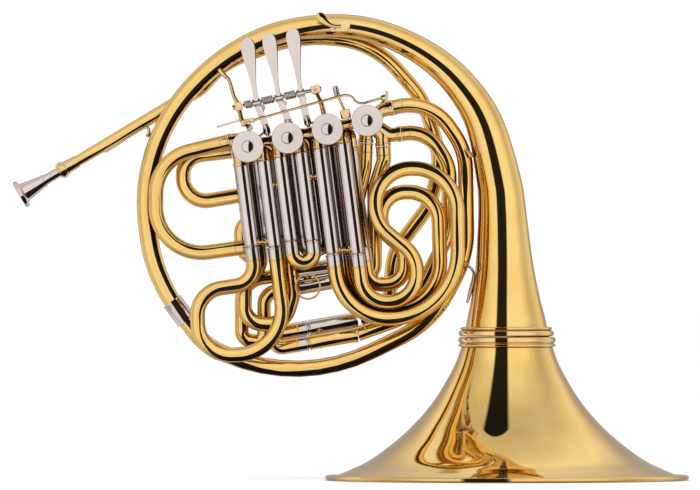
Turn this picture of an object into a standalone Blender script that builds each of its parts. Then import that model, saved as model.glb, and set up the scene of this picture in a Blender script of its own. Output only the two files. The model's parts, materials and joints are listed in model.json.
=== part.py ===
"""French horn: a double horn in F and B flat with four rotary valves in one row and a screw-off bell.

It stands on its bell. The origin lies on the floor under the middle of the whole horn, +Z runs up,
and the
valve caps face -Y. Lengths in this file are millimetres; MM turns them into metres. Every place below is
measured from the centre of the bell rim, and the empty at the end moves the horn to its origin.
A tube's corners are (x, z, bend radius, y): its centre line is those corners rounded off, and a corner
without its own y lies on the deck that the tube is laid on.
"""

import math

import bmesh
import bpy
from mathutils import Matrix, Vector

MM = 0.001
# How far the bell axis lies to the right of the middle of the whole horn.
BELL_AXIS_X = 132.21

# Decks: how far each layer of tubing lies from the plane of the body ring.
FRONT_DECK = -27.0
BACK_DECK = -14.0
RING_DECK = 0.0
REAR_DECK = 15.5
# The main tuning slide's two legs lie behind the other slides, so that it can be pulled past them.
MAIN_DECKS = (22.0, 13.2)

# Tubing.
TUBE_R = 6.3
TUBE_WALL = 0.6
INSERT_R = 5.2
INSERT_LENGTH = 50.0
BEND_SAGITTA = 1.3
SHARP_ANGLE = math.radians(50)

# Valve row.
VALVE_1_X = -219.4
VALVE_1_Z = 282.1
ROW_TILT_DEG = 12.3
VALVE_PITCH = 34.4
CASING_R = 12.4
CASING_BORE_R = 11.2
CASING_FRONT = -39.0
CASING_BACK = 9.0
ROTOR_R = 10.8
ROTOR_FRONT = -38.0
ROTOR_BACK = 5.0
CAP_R = 13.4
SPINDLE_R = 2.4
PORT_R = 6.45
PORT_DEPTH = 14.2
BACK_PORT_DEPTHS = {"a": 14.2, "b": 24.0, "c": 14.2, "d": 20.5, "e": 14.2, "f": 21.5}
ARM_PIN_R = 7.8
THUMB_PIN_R = 3.6

# Slide legs: x of each leg's centre line at the height LEG_REF_Z, and how far the legs lean.
LEG_REF_Z = 237.2
LEG_LEAN = 0.128
FRONT_LEGS = {"a": -221.4, "b": -201.9, "c": -187.6, "d": -169.4, "e": -153.3, "f": -132.6}
BACK_LEGS = {"a": -215.0, "b": -191.0, "c": -176.6, "d": -161.4, "e": -144.8, "f": -126.7}
# Height of the joint between each leg's sleeve and its slide.
FRONT_JOINTS = {"a": 198.0, "b": 198.0, "c": 203.0, "d": 203.0, "e": 192.0, "f": 192.0}
BACK_JOINTS = {"a": 203.0, "b": 203.0, "c": 207.0, "d": 207.0, "e": 197.0, "f": 197.0}
VALVE_OF_LEG = {"a": 1, "b": 1, "c": 2, "d": 2, "e": 3, "f": 3}

# Bell: (height above the rim plane, outer radius).
BELL_PROFILE = (
    (3.6, 146.0), (8.5, 133.5), (16.0, 117.8), (28.0, 100.6), (45.0, 81.0), (67.0, 62.1), (94.0, 46.0),
    (111.5, 39.1), (121.2, 37.0),
)
BELL_WALL = 0.9
RIM_R = 153.5
# The bell branch above the screw ring: (x, z, tube radius).
BRANCH_STATIONS = (
    (-0.6, 121.9, 36.6), (-0.6, 131.0, 34.2), (-1.2, 152.0, 29.6), (-2.0, 178.0, 25.0),
    (-3.0, 203.0, 22.4), (-4.2, 229.0, 20.3), (-6.0, 249.0, 19.1), (-16.6, 294.6, 16.5),
    (-29.4, 321.4, 14.7), (-54.2, 349.8, 12.7), (-87.7, 371.2, 11.0), (-124.6, 383.2, 10.1),
    (-162.6, 384.4, 9.5), (-199.1, 377.4, 9.1), (-232.2, 361.8, 8.6), (-260.5, 339.3, 8.3),
    (-283.4, 311.1, 8.2), (-298.9, 277.9, 8.1), (-305.6, 241.4, 8.0), (-303.0, 203.8, 8.0),
    (-296.0, 176.3, 7.8), (-281.4, 148.1, 7.3),
)

# Levers: (place along the row of the hub, of the touch's foot and of its tip).
LEVER_PLACES = {1: (15.2, 15.2, 18.6), 2: (34.5, 34.5, 37.3), 3: (53.4, 53.4, 58.0)}
LINK_TOPS = {1: 19.0, 2: 37.4, 3: 54.6}
AXLE_DOWN = -35.0
AXLE_Y = -31.0
AXLE_R = 1.5
HUB_R = 3.2
HUB_HALF = 3.4
LINK_Y = 16.0
TOUCH_LENGTH = 55.0


# ---- places ------------------------------------------------------------------------------------

def row_point(along, down, y):
    """A point placed by its distance along the valve row and down from it."""
    tilt = math.radians(ROW_TILT_DEG)
    x = VALVE_1_X + along * math.cos(tilt) + down * math.sin(tilt)
    z = VALVE_1_Z + along * math.sin(tilt) - down * math.cos(tilt)
    return Vector((x, y, z))


def valve_point(number, y):
    return row_point((number - 1) * VALVE_PITCH, 0.0, y)


def leg_x(reference_x, z):
    return reference_x + LEG_LEAN * (LEG_REF_Z - z)


def leg_top(reference_x, number, down):
    """The height at which a leg's centre line lies this far down from the valve row."""
    tilt = math.radians(ROW_TILT_DEG)
    centre = valve_point(number, 0.0)
    z = centre.z
    for _ in range(4):
        z = centre.z - (down - (leg_x(reference_x, z) - centre.x) * math.sin(tilt)) / math.cos(tilt)
    return z


def at_deck(corners, deck):
    """Corners (x, z, bend radius, y) as (x, y, z, bend radius)."""
    placed = []
    for corner in corners:
        y = corner[3] if len(corner) > 3 else deck
        point = (corner[0], y, corner[1])
        placed.append(point + (corner[2],) if len(corner) > 2 and corner[2] else point)
    return placed


# ---- centre lines ------------------------------------------------------------------------------

def rounded(corners, sagitta=BEND_SAGITTA):
    """Points along a line with its corners rounded off. A corner without a bend radius is kept."""
    line = [Vector(corners[0][:3])]
    for before, corner, after in zip(corners, corners[1:], corners[2:]):
        here = Vector(corner[:3])
        if len(corner) < 4:
            line.append(here)
            continue
        back = (Vector(before[:3]) - here).normalized()
        ahead = (Vector(after[:3]) - here).normalized()
        turn = math.pi - back.angle(ahead)
        reach = corner[3] * math.tan(turn / 2)
        centre = here + (back + ahead).normalized() * (corner[3] / math.cos(turn / 2))
        first = here + back * reach - centre
        axis = first.cross(here + ahead * reach - centre)
        step_angle = 2 * math.acos(1 - min(0.25, sagitta / corner[3]))
        steps = max(1, math.ceil(turn / min(step_angle, 0.7)))
        for step in range(steps + 1):
            line.append(centre + Matrix.Rotation(turn * step / steps, 3, axis) @ first)
    line.append(Vector(corners[-1][:3]))
    return line


def through(stations, pieces):
    """A smooth line through (x, z, radius) stations in the ring plane, as points and radii."""
    samples = [Vector((x, radius, z)) for x, z, radius in stations]
    samples = [samples[0] * 2 - samples[1], *samples, samples[-1] * 2 - samples[-2]]
    line = []
    radii = []
    for a, b, c, d in zip(samples, samples[1:], samples[2:], samples[3:]):
        for step in range(pieces):
            t = step / pieces
            square = a * 2 - b * 5 + c * 4 - d
            cube = b * 3 - a - c * 3 + d
            p = (b * 2 + (c - a) * t + square * t * t + cube * t**3) / 2
            line.append(Vector((p.x, RING_DECK, p.z)))
            radii.append(p.y)
    line.append(Vector((samples[-2].x, RING_DECK, samples[-2].z)))
    radii.append(samples[-2].y)
    return line, radii


# ---- building blocks ---------------------------------------------------------------------------

def clear_scene():
    for item in list(bpy.data.objects):
        bpy.data.objects.remove(item)


def new_collection(name, hidden=False):
    collection = bpy.data.collections.new(name)
    bpy.context.scene.collection.children.link(collection)
    collection.hide_render = hidden
    return collection


def metal(name, colour, roughness):
    material = bpy.data.materials.new(name)
    material.use_nodes = True
    shader = material.node_tree.nodes["Principled BSDF"]
    shader.inputs["Base Color"].default_value = (*colour, 1.0)
    shader.inputs["Metallic"].default_value = 1.0
    shader.inputs["Roughness"].default_value = roughness
    return material


def finish(item, material, helper=False):
    """Gives the object its material and its collection. A helper only feeds Booleans."""
    item.data.materials.append(material)
    (HELPERS if helper else PARTS).objects.link(item)
    if helper:
        item.hide_render = True
        item.display_type = "WIRE"
    return item


def shade_round(mesh):
    """Smooth shading on the round faces, with the real edges kept sharp."""
    mesh.shade_smooth()
    mesh.set_sharp_from_angle(angle=SHARP_ANGLE)


def tube(name, line, radii, material, wall=TUBE_WALL, resolution=1, helper=False):
    """A round tube along the line. With a wall it is open at both ends; without one it is a rod."""
    curve = bpy.data.curves.new(name, "CURVE")
    curve.dimensions = "3D"
    curve.bevel_depth = MM
    curve.bevel_resolution = resolution
    curve.use_fill_caps = wall is None
    spline = curve.splines.new("POLY")
    spline.points.add(len(line) - 1)
    for point, place, radius in zip(spline.points, line, radii):
        point.co = (*(Vector(place) * MM), 1.0)
        point.radius = radius
    item = finish(bpy.data.objects.new(name, curve), material, helper)
    if wall is not None:
        shell = item.modifiers.new("Wall", "SOLIDIFY")
        shell.thickness = wall * MM
        shell.offset = -1.0
    return item


def even_tube(name, corners, radius, material, **options):
    line = rounded(corners)
    return tube(name, line, [radius] * len(line), material, **options)


def as_mesh(item, helper=True):
    """The same object with its curve and modifiers turned into a plain mesh."""
    name = item.name
    material = item.data.materials[0]
    bpy.context.view_layer.update()
    evaluated = item.evaluated_get(bpy.context.evaluated_depsgraph_get())
    mesh = bpy.data.meshes.new_from_object(evaluated)
    place = item.matrix_world.copy()
    bpy.data.objects.remove(item)
    work = bmesh.new()
    work.from_mesh(mesh)
    bmesh.ops.remove_doubles(work, verts=work.verts, dist=0.00001)
    bmesh.ops.recalc_face_normals(work, faces=work.faces)
    work.to_mesh(mesh)
    work.free()
    mesh.materials.clear()
    shade_round(mesh)
    made = finish(bpy.data.objects.new(name, mesh), material, helper)
    made.matrix_world = place
    return made


def from_bmesh(name, work, material, helper):
    mesh = bpy.data.meshes.new(name)
    work.to_mesh(mesh)
    work.free()
    shade_round(mesh)
    return finish(bpy.data.objects.new(name, mesh), material, helper)


def rod(name, start, end, radius, material, sides=12, end_radius=None, helper=True):
    """A straight solid bar with a round section."""
    start = Vector(start)
    end = Vector(end)
    work = bmesh.new()
    bmesh.ops.create_cone(
        work,
        cap_ends=True,
        segments=sides,
        radius1=radius * MM,
        radius2=(radius if end_radius is None else end_radius) * MM,
        depth=(end - start).length * MM,
    )
    turn = (end - start).to_track_quat("Z", "Y").to_matrix().to_4x4()
    place = Matrix.Translation((start + end) / 2 * MM) @ turn
    bmesh.ops.transform(work, matrix=place, verts=work.verts)
    return from_bmesh(name, work, material, helper)


def ball(name, centre, radius, material, sides=10, helper=True):
    work = bmesh.new()
    bmesh.ops.create_uvsphere(work, u_segments=sides, v_segments=sides // 2 + 1, radius=radius * MM)
    bmesh.ops.translate(work, vec=Vector(centre) * MM, verts=work.verts)
    return from_bmesh(name, work, material, helper)


def block(name, centre, size, material, turn_deg=0.0, helper=True):
    """A box, turned about Y so that it can follow the valve row."""
    work = bmesh.new()
    bmesh.ops.create_cube(work, size=1.0)
    bmesh.ops.scale(work, vec=Vector(size) * MM, verts=work.verts)
    turn = Matrix.Rotation(-math.radians(turn_deg), 4, "Y")
    bmesh.ops.transform(work, matrix=Matrix.Translation(Vector(centre) * MM) @ turn, verts=work.verts)
    return from_bmesh(name, work, material, helper)


def plate(name, points, normal, thickness, material, helper=True):
    """A flat plate grown from its outline along the normal."""
    work = bmesh.new()
    face = work.faces.new([work.verts.new(Vector(point) * MM) for point in points])
    grown = bmesh.ops.extrude_face_region(work, geom=[face])
    moved = [part for part in grown["geom"] if isinstance(part, bmesh.types.BMVert)]
    bmesh.ops.translate(work, vec=Vector(normal) * thickness * MM, verts=moved)
    bmesh.ops.recalc_face_normals(work, faces=work.faces)
    return from_bmesh(name, work, material, helper)


def combine(body, others, operation="UNION"):
    for other in others:
        step = body.modifiers.new(other.name, "BOOLEAN")
        step.operation = operation
        step.solver = "EXACT"
        step.object = other
    return body


def settle(body, name):
    """Applies a body's Booleans, which makes it a node of its own."""
    made = as_mesh(body, helper=False)
    made.name = name
    return made


def turned(name, profile, place, direction, material, sides=24, loop=True):
    """A ring or a solid turned about a line. The profile is (radius, distance along the line)."""
    mesh = bpy.data.meshes.new(name)
    count = len(profile)
    points = [(radius * MM, 0.0, along * MM) for radius, along in profile]
    edges = [(k, (k + 1) % count) for k in range(count if loop else count - 1)]
    mesh.from_pydata(points, edges, [])
    item = finish(bpy.data.objects.new(name, mesh), material)
    screw = item.modifiers.new("Turn", "SCREW")
    screw.axis = "Z"
    screw.steps = sides
    screw.render_steps = sides
    screw.use_merge_vertices = True
    screw.merge_threshold = 0.00001
    screw.use_normal_calculate = True
    item.location = Vector(place) * MM
    item.rotation_mode = "QUATERNION"
    item.rotation_quaternion = Vector(direction).to_track_quat("Z", "Y")
    return item


def pivot_at(item, place):
    """Moves the object's origin onto its joint axis, leaving its shape where it is."""
    bpy.context.view_layer.update()
    target = Vector(place) * MM
    item.data.transform(Matrix.Translation(-target) @ item.matrix_world)
    item.matrix_world = Matrix.Translation(target)
    return item


# ---- bell, body ring and leadpipe --------------------------------------------------------------

def bell_flare():
    """The screw-off flare with its rolled rim."""
    outer = [(radius, height) for height, radius in reversed(BELL_PROFILE)]
    inner = [(radius - BELL_WALL, height + 0.2) for height, radius in BELL_PROFILE]
    inner[-1] = (BELL_PROFILE[-1][1] - BELL_WALL, BELL_PROFILE[-1][0])
    top = RIM_R + 1.5
    bead = [(top - 2.0, 2.9), (top - 0.5, 2.5), (top, 1.4), (top - 0.4, 0.4), (RIM_R, 0.0)]
    bead += [(RIM_R - 2.5, 0.0), (RIM_R - 3.6, 0.9)]
    return turned("bell_flare", outer + bead + inner, (0, 0, 0), (0, 0, 1), USE["gold"], sides=30)


def screw_rings():
    lower = [(40.2, 121.2), (41.2, 119.8), (41.3, 115.2), (40.4, 112.9), (39.5, 112.9), (37.4, 121.2)]
    upper = [(39.3, 129.6), (40.5, 128.2), (40.8, 124.0), (39.6, 121.8), (37.3, 121.8), (35.2, 129.6)]
    turned("bell_ring_lower", lower, (0, 0, 0), (0, 0, 1), USE["pale"], sides=20)
    turned("bell_ring_upper", upper, (-0.6, 0, 0), (0, 0, 1), USE["pale"], sides=20)


def bell_branch():
    line, radii = through(BRANCH_STATIONS, 1)
    tube("bell_branch", line, radii, USE["gold"], wall=0.8, resolution=3)


def first_branch():
    """From the ferrule round the bottom of the ring and up to the fourth valve."""
    corners = [
        (-280.4, 146.8), (-255.8, 113.9, 50.8), (-175.3, 79.6, 148.2), (-63.5, 133.8, 88.9),
        (-33.9, 190.6, 84.7), (-35.3, 279.5, 54.2), (-65.2, 322.7, 40.7), (-96.7, 315.4),
    ]
    line = rounded(at_deck(corners, RING_DECK))
    radii = [max(TUBE_R, 7.2 - 0.12 * k) for k in range(len(line))]
    tube("first_branch", line, radii, USE["gold"])
    ferrule = at_deck([(-283.9, 151.7), (-271.4, 134.9)], RING_DECK)
    tube("body_ferrule", ferrule, [8.9, 8.9], USE["silver"], wall=0.4, resolution=3)


def leadpipe():
    corners = [
        (-371.8, 265.8), (-258.9, 332.2, 38.1), (-241.1, 353.5, 67.8), (-174.5, 377.7, 127.0),
        (-112.7, 370.1, 74.5), (-70.3, 321.9, 76.2), (-55.9, 271.0, 50.8), (-65.2, 232.9, 50.8),
        (-95.7, 193.1, 42.4, 17.0), (-100.8, 143.1, 18.6, 21.2), (-124.1, 137.2, None, MAIN_DECKS[0]),
    ]
    line = rounded(at_deck(corners, REAR_DECK))
    length = 0.0
    radii = [4.5]
    for a, b in zip(line, line[1:]):
        length += (b - a).length
        radii.append(min(TUBE_R, 4.5 + 1.8 * length / 150.0))
    tube("leadpipe", line, radii, USE["gold"])


PIPE_WAY = Vector((0.862, 0.0, 0.507))
PIPE_START = Vector((-371.8, 265.8, 15.5)).xzy


def mouthpiece_end():
    """The receiver on the end of the leadpipe, and the mouthpiece pushed into it."""
    receiver = [(6.1, -9.8), (7.2, -8.8), (7.2, -6.6), (5.9, -5.6), (5.9, -1.0), (6.9, 0.0), (6.6, 2.4),
                (5.4, 4.0), (5.2, 9.0), (4.85, 9.0), (4.85, -9.8)]
    turned("mouthpiece_receiver", receiver, PIPE_START, PIPE_WAY, USE["pale"], sides=14)
    cup = [(8.4, -48.6), (11.6, -48.6), (12.2, -47.4), (11.6, -46.0), (10.1, -44.8), (8.6, -38.0),
           (6.2, -29.0), (4.8, -24.5), (4.2, -20.0), (4.0, -9.0), (3.6, -0.6), (2.6, -0.6), (2.4, -22.0),
           (6.8, -40.0)]
    mouthpiece = turned("mouthpiece", cup, PIPE_START, PIPE_WAY, USE["silver"], sides=14)
    return mouthpiece


# ---- valves ------------------------------------------------------------------------------------

def port_depth(letter, deck):
    return BACK_PORT_DEPTHS[letter] if deck == BACK_DECK else PORT_DEPTH


def leg_port(letter, legs, deck):
    """The brass port that a slide leg leaves its valve by: an elbow and a short straight length."""
    number = VALVE_OF_LEG[letter]
    reference = legs[letter]
    depth = port_depth(letter, deck)
    top = leg_top(reference, number, depth - 9.2)
    end = leg_top(reference, number, depth)
    bend = Vector((leg_x(reference, top), deck, top))
    name = f"port_{letter}_{round(-deck)}"
    elbow = rod(name + "_elbow", valve_point(number, deck), bend, PORT_R - 0.5, USE["pale"], sides=6)
    joint = ball(name + "_joint", bend, PORT_R - 0.2, USE["pale"], sides=8)
    straight = rod(name, bend, (leg_x(reference, end), deck, end), PORT_R, USE["pale"], sides=8)
    return [elbow, joint, straight]


def side_port(name, number, start, end, deck, radius=PORT_R):
    """A straight port from the casing towards a fixed tube."""
    return rod(name, (start[0], deck, start[1]), (end[0], deck, end[1]), radius, USE["pale"], sides=8)


def casing(number):
    front = valve_point(number, CASING_FRONT)
    back = valve_point(number, CASING_BACK)
    body = rod(f"casing_{number}", front, back, CASING_R, USE["pale"], sides=18)
    ports = []
    for letter, owner in VALVE_OF_LEG.items():
        if owner == number:
            ports += leg_port(letter, FRONT_LEGS, FRONT_DECK)
            ports += leg_port(letter, BACK_LEGS, BACK_DECK)
    if number < 4:
        # A knuckle carries the air on to the next valve at two levels.
        reach = VALVE_PITCH - CASING_R - 0.4
        for deck in (BACK_DECK, RING_DECK):
            along = (number - 1) * VALVE_PITCH
            knuckle = rod(f"knuckle_{number}_{round(-deck)}", row_point(along, 0, deck),
                          row_point(along + reach, 0, deck), 5.2, USE["pale"], sides=8)
            ports.append(knuckle)
    if number == 1:
        ports.append(side_port("port_left_1", 1, (-219.4, 282.1), (-232.4, 287.0), BACK_DECK))
        ports.append(side_port("port_left_2", 1, (-219.4, 282.1), (-232.2, 278.8), RING_DECK))
    if number == 4:
        ports.append(side_port("port_right_1", 4, (-120.6, 305.4), (-98.3, 315.0), RING_DECK))
        ports.append(side_port("port_right_2", 4, (-120.3, 302.7), (-93.0, 292.9), RING_DECK))
        ports.append(side_port("port_down_1", 4, (-119.4, 305.3), (-105.6, 286.3), RING_DECK))
        ports.append(side_port("port_down_2", 4, (-118.1, 303.4), (-119.8, 286.3), RING_DECK))
    combine(body, ports)
    bore = rod(f"bore_{number}", valve_point(number, CASING_FRONT - 5),
               valve_point(number, CASING_BACK - 2.5),
               CASING_BORE_R, USE["pale"], sides=18)
    hole = rod(f"spindle_hole_{number}", valve_point(number, 0), valve_point(number, CASING_BACK + 5),
               SPINDLE_R + 0.4, USE["pale"])
    combine(body, [bore, hole], "DIFFERENCE")
    return settle(body, f"valve_casing_{number}")


def rotor(number, pin_angle_deg, pin_radius):
    """The rotor, its spindle and, behind the casing, the stop arm with its pin."""
    axis = valve_point(number, 0.0)
    body = rod(f"rotor_core_{number}", valve_point(number, ROTOR_FRONT), valve_point(number, ROTOR_BACK),
               ROTOR_R, USE["steel"], sides=16)
    spindle = rod(f"spindle_{number}", valve_point(number, 0), valve_point(number, 13.4), SPINDLE_R,
                  USE["steel"])
    turn = math.radians(pin_angle_deg)
    pin = axis + Vector((math.cos(turn), 0, math.sin(turn))) * pin_radius
    tail = axis - Vector((math.cos(turn), 0, math.sin(turn))) * 3.4
    across = Vector((-math.sin(turn), 0, math.cos(turn)))
    outline = []
    for end, half in ((tail, 3.2), (pin + (pin - axis).normalized() * 2.2, 2.4)):
        side = 1 if end is tail else -1
        outline += [end + across * half * side, end - across * half * side]
    low = Vector((0, 10.2, 0))
    arm = plate(f"stop_arm_{number}", [point + low for point in outline], (0, 1, 0), 2.6, USE["steel"])
    combine(body, [spindle, arm])
    made = settle(body, f"rotor_{number}")
    pivot_at(made, axis)
    return made


def valve_cap(number):
    """The screw cap, with a rounded edge and a polished dimple."""
    profile = [(0.0, 0.0), (12.0, 0.0), (13.4, 1.2), (13.4, 3.6), (12.6, 4.8), (7.0, 5.2), (5.6, 4.9),
               (4.6, 3.4), (0.0, 2.4)]
    cap = turned(f"valve_cap_{number}", profile, valve_point(number, CASING_FRONT - 0.4), (0, -1, 0),
                 USE["silver"], sides=18, loop=False)
    return cap


# ---- slides ------------------------------------------------------------------------------------

def sleeve_set(name, letters, legs, joints, deck, stays):
    """Fixed outer tubes of neighbouring slide legs, held to each other by small stays."""
    made = []
    for letter in letters:
        reference = legs[letter]
        top = leg_top(reference, VALVE_OF_LEG[letter], port_depth(letter, deck) + 0.3)
        low = joints[letter]
        line = [Vector((leg_x(reference, top), deck, top)), Vector((leg_x(reference, low), deck, low))]
        made.append(as_mesh(tube(f"{name}_{letter}", line, [TUBE_R] * 2, USE["silver"], resolution=3,
                                 helper=True)))
    body = made[0]
    bars = []
    for left, right, height in stays:
        start = Vector((leg_x(legs[left], height) + TUBE_R - 0.42, deck, height))
        end = Vector((leg_x(legs[right], height) - TUBE_R + 0.42, deck, height))
        bars.append(rod(f"{name}_stay_{left}{right}", start, end, 1.6, USE["silver"], sides=8))
    combine(body, made[1:] + bars)
    return settle(body, name)


def slide(name, legs, joints, deck, ends, corners):
    """A movable crook with two narrow legs that run up inside the sleeves."""
    first, last = ends
    line = []
    heights = (INSERT_LENGTH, -0.3, -0.8)
    for height in heights:
        z = joints[first] + height
        line.append((leg_x(legs[first], z), deck, z))
    line += at_deck(corners, deck)
    for height in reversed(heights):
        z = joints[last] + height
        line.append((leg_x(legs[last], z), deck, z))
    path = rounded(line)
    radii = [TUBE_R] * len(path)
    for k in (0, 1, -1, -2):
        radii[k] = INSERT_R
    made = tube(name, path, radii, USE["gold"])
    return pivot_at(made, path[0])


def front_slides():
    slide("slide_1_front", FRONT_LEGS, FRONT_JOINTS, FRONT_DECK, "ab",
          [(-212.6, 166.9, 17.4), (-262.6, 159.6, 22.9), (-260.9, 105.9, 27.1), (-185.2, 106.7, 39.0)])
    slide("slide_2_front", FRONT_LEGS, FRONT_JOINTS, FRONT_DECK, "cd",
          [(-180.7, 183.0, 8.8), (-162.8, 185.2, 8.8)])
    slide("slide_3_front", FRONT_LEGS, FRONT_JOINTS, FRONT_DECK, "ef",
          [(-140.4, 136.8, 44.9), (-41.1, 136.8, 57.6), (-42.4, 263.8, 37.3), (-111.8, 263.8, 30.5),
           (-111.8, 217.7, 30.5),
           (-76.7, 189.3, 27.1), (-76.7, 150.8, 23.7), (-121.7, 150.8, 22.0)])


def back_slides():
    slide("slide_1_back", BACK_LEGS, BACK_JOINTS, BACK_DECK, "ab",
          [(-208.2, 183.8, 14.4), (-222.3, 163.5, 12.7), (-222.3, 133.0, 15.2), (-188.9, 131.3, 18.6),
           (-180.8, 157.5, 20.3)])
    slide("slide_2_back", BACK_LEGS, BACK_JOINTS, BACK_DECK, "cd",
          [(-170.9, 193.1, 7.5), (-155.8, 195.1, 7.5)])
    slide("slide_3_back", BACK_LEGS, BACK_JOINTS, BACK_DECK, "ef",
          [(-132.1, 145.7, 33.9), (-55.9, 148.2, 37.3), (-58.4, 243.9, 25.4), (-105.9, 243.9, 20.3),
           (-107.1, 211.8, 22.0),
           (-86.4, 194.8, 16.9), (-87.2, 166.9, 15.2), (-117.5, 165.2, 12.7)])


def sleeves():
    sleeve_set("front_sleeves_left", "abc", FRONT_LEGS, FRONT_JOINTS, FRONT_DECK,
               [("a", "b", 201.0), ("b", "c", 249.9)])
    sleeve_set("front_sleeves_right", "def", FRONT_LEGS, FRONT_JOINTS, FRONT_DECK,
               [("d", "e", 256.6), ("e", "f", 195.0)])
    sleeve_set("back_sleeves_left", "abc", BACK_LEGS, BACK_JOINTS, BACK_DECK,
               [("a", "b", 207.0), ("b", "c", 240.0)])
    sleeve_set("back_sleeves_right", "def", BACK_LEGS, BACK_JOINTS, BACK_DECK,
               [("d", "e", 240.0), ("e", "f", 201.0)])


def pull_ring():
    """A wire ring hanging at the bow of the second valve's slide."""
    centre = Vector((-168.6, 163.9, FRONT_DECK)).xzy
    count = 20
    line = [centre + Vector((math.cos(2 * math.pi * k / count),
                             0, math.sin(2 * math.pi * k / count))) * 10.4
            for k in range(count)]
    curve = bpy.data.curves.new("pull_ring", "CURVE")
    curve.dimensions = "3D"
    curve.bevel_depth = 0.85 * MM
    curve.bevel_resolution = 1
    spline = curve.splines.new("POLY")
    spline.points.add(count - 1)
    spline.use_cyclic_u = True
    for point, place in zip(spline.points, line):
        point.co = (*(place * MM), 1.0)
    item = finish(bpy.data.objects.new("pull_ring", curve), USE["pale"])
    return pivot_at(item, centre + Vector((0, 0, 10.4)))


def horizontal_slide(name, first, last, joint_x, tip_x, corners, decks):
    """A slide lying across the horn. Each leg is a line through two (x, z) points."""
    line = []
    for leg, deck, reverse in ((first, decks[0], False), (last, decks[1], True)):
        (x1, z1), (x2, z2) = leg
        points = []
        for x in (tip_x, joint_x - 0.3, joint_x - 0.8):
            z = z1 + (z2 - z1) * (x - x1) / (x2 - x1)
            points.append((x, deck, z))
        if reverse:
            line += corners + points[::-1]
        else:
            line += points
    path = rounded(line)
    radii = [TUBE_R] * len(path)
    for k in (0, 1, -1, -2):
        radii[k] = INSERT_R
    made = tube(name, path, radii, USE["gold"])
    return pivot_at(made, path[0])


def horizontal_sleeves(name, legs, from_x, to_x, decks, stay_x):
    made = []
    spots = []
    for index, ((x1, z1), (x2, z2)) in enumerate(legs):
        slope = (z2 - z1) / (x2 - x1)
        ends = [Vector((x, decks[index], z1 + slope * (x - x1))) for x in (from_x, to_x)]
        spots.append(Vector((stay_x, decks[index], z1 + slope * (stay_x - x1))))
        made.append(as_mesh(tube(f"{name}_{index}", ends, [TUBE_R] * 2, USE["silver"], resolution=3,
                                 helper=True)))
    way = (spots[1] - spots[0]).normalized()
    bar = rod(f"{name}_stay", spots[0] + way * (TUBE_R - 0.42), spots[1] - way * (TUBE_R - 0.42), 1.6,
              USE["silver"], sides=8)
    combine(made[0], [made[1], bar])
    return settle(made[0], name)


MAIN_UPPER = ((-164.3, 129.6), (-127.0, 135.9))
MAIN_LOWER = ((-164.3, 116.9), (-116.0, 125.1))
SECOND_LOWER = ((-179.6, 162.6), (-145.7, 168.4))
SECOND_UPPER = ((-179.6, 175.9), (-145.7, 181.7))


def tuning_slides():
    horizontal_slide("main_tuning_slide", MAIN_UPPER, MAIN_LOWER, -167.7, -133.0,
                     at_deck([(-196.5, 124.1, 6.5, MAIN_DECKS[0]),
                              (-196.5, 111.4, 6.5, MAIN_DECKS[1])], 0.0), MAIN_DECKS)
    horizontal_sleeves("main_tuning_sleeves", (MAIN_UPPER, MAIN_LOWER),
                       -167.7, -127.9, MAIN_DECKS, -160.1)
    decks = (RING_DECK, RING_DECK)
    horizontal_slide("second_tuning_slide", SECOND_LOWER, SECOND_UPPER, -177.9, -149.9,
                     at_deck([(-205.8, 158.1, 11.0), (-205.8, 116.0, 9.3), (-224.9, 116.0, 9.3),
                              (-224.9, 168.2, 20.3)],
                             RING_DECK), decks)
    horizontal_sleeves("second_tuning_sleeves", (SECOND_LOWER, SECOND_UPPER),
                       -177.9, -144.8, decks, -173.6)


# ---- fixed tubing ------------------------------------------------------------------------------

def fixed_tubes():
    even_tube("left_loop_outer", at_deck([(-236.0, 286.4), (-297.3, 271.4, 36.4),
                                          (-297.3, 186.8, 39.0), (-222.8, 197.1)],
                                         BACK_DECK), TUBE_R, USE["gold"])
    even_tube("left_loop_inner", at_deck([(-233.6, 278.7), (-274.4, 273.6, 16.9),
                                          (-274.4, 232.9, 19.5), (-207.5, 244.4)],
                                         RING_DECK), TUBE_R, USE["gold"])
    even_tube("bow_behind_valve_1", at_deck([(-205.8, 221.1), (-225.7, 218.1, 11.0),
                                             (-223.6, 184.2, 12.7),
                                            (-207.5, 188.5)], RING_DECK), TUBE_R, USE["gold"])
    even_tube("lower_branch", at_deck([(-89.6, 293.3), (-67.8, 296.0, 28.8), (-48.7, 266.0, 35.6),
                                       (-49.5, 207.5, 50.8, 3.0),
                                       (-85.5, 138.1, 25.4, 12.4),
                                       (-126.4, 123.6, None, MAIN_DECKS[1])], RING_DECK), TUBE_R,
              USE["gold"])
    even_tube("inner_transfer_tube", at_deck([(-105.0, 282.6), (-104.2, 271.0, 13.6),
                                              (-112.2, 245.6, 25.4),
                                              (-112.2, 174.1, 11.0), (-144.0, 168.6)], RING_DECK), TUBE_R,
              USE["gold"])
    even_tube("outer_transfer_tube", at_deck([(-119.9, 285.3), (-120.7, 264.3, 16.9),
                                              (-126.6, 237.2, 30.5),
                                              (-126.6, 184.9, 7.6), (-144.0, 181.9)], RING_DECK), TUBE_R,
              USE["gold"])


# ---- levers and linkage ------------------------------------------------------------------------

THUMB_PIVOT = Vector((-218.1, 298.5, -22.0)).xzy

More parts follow.
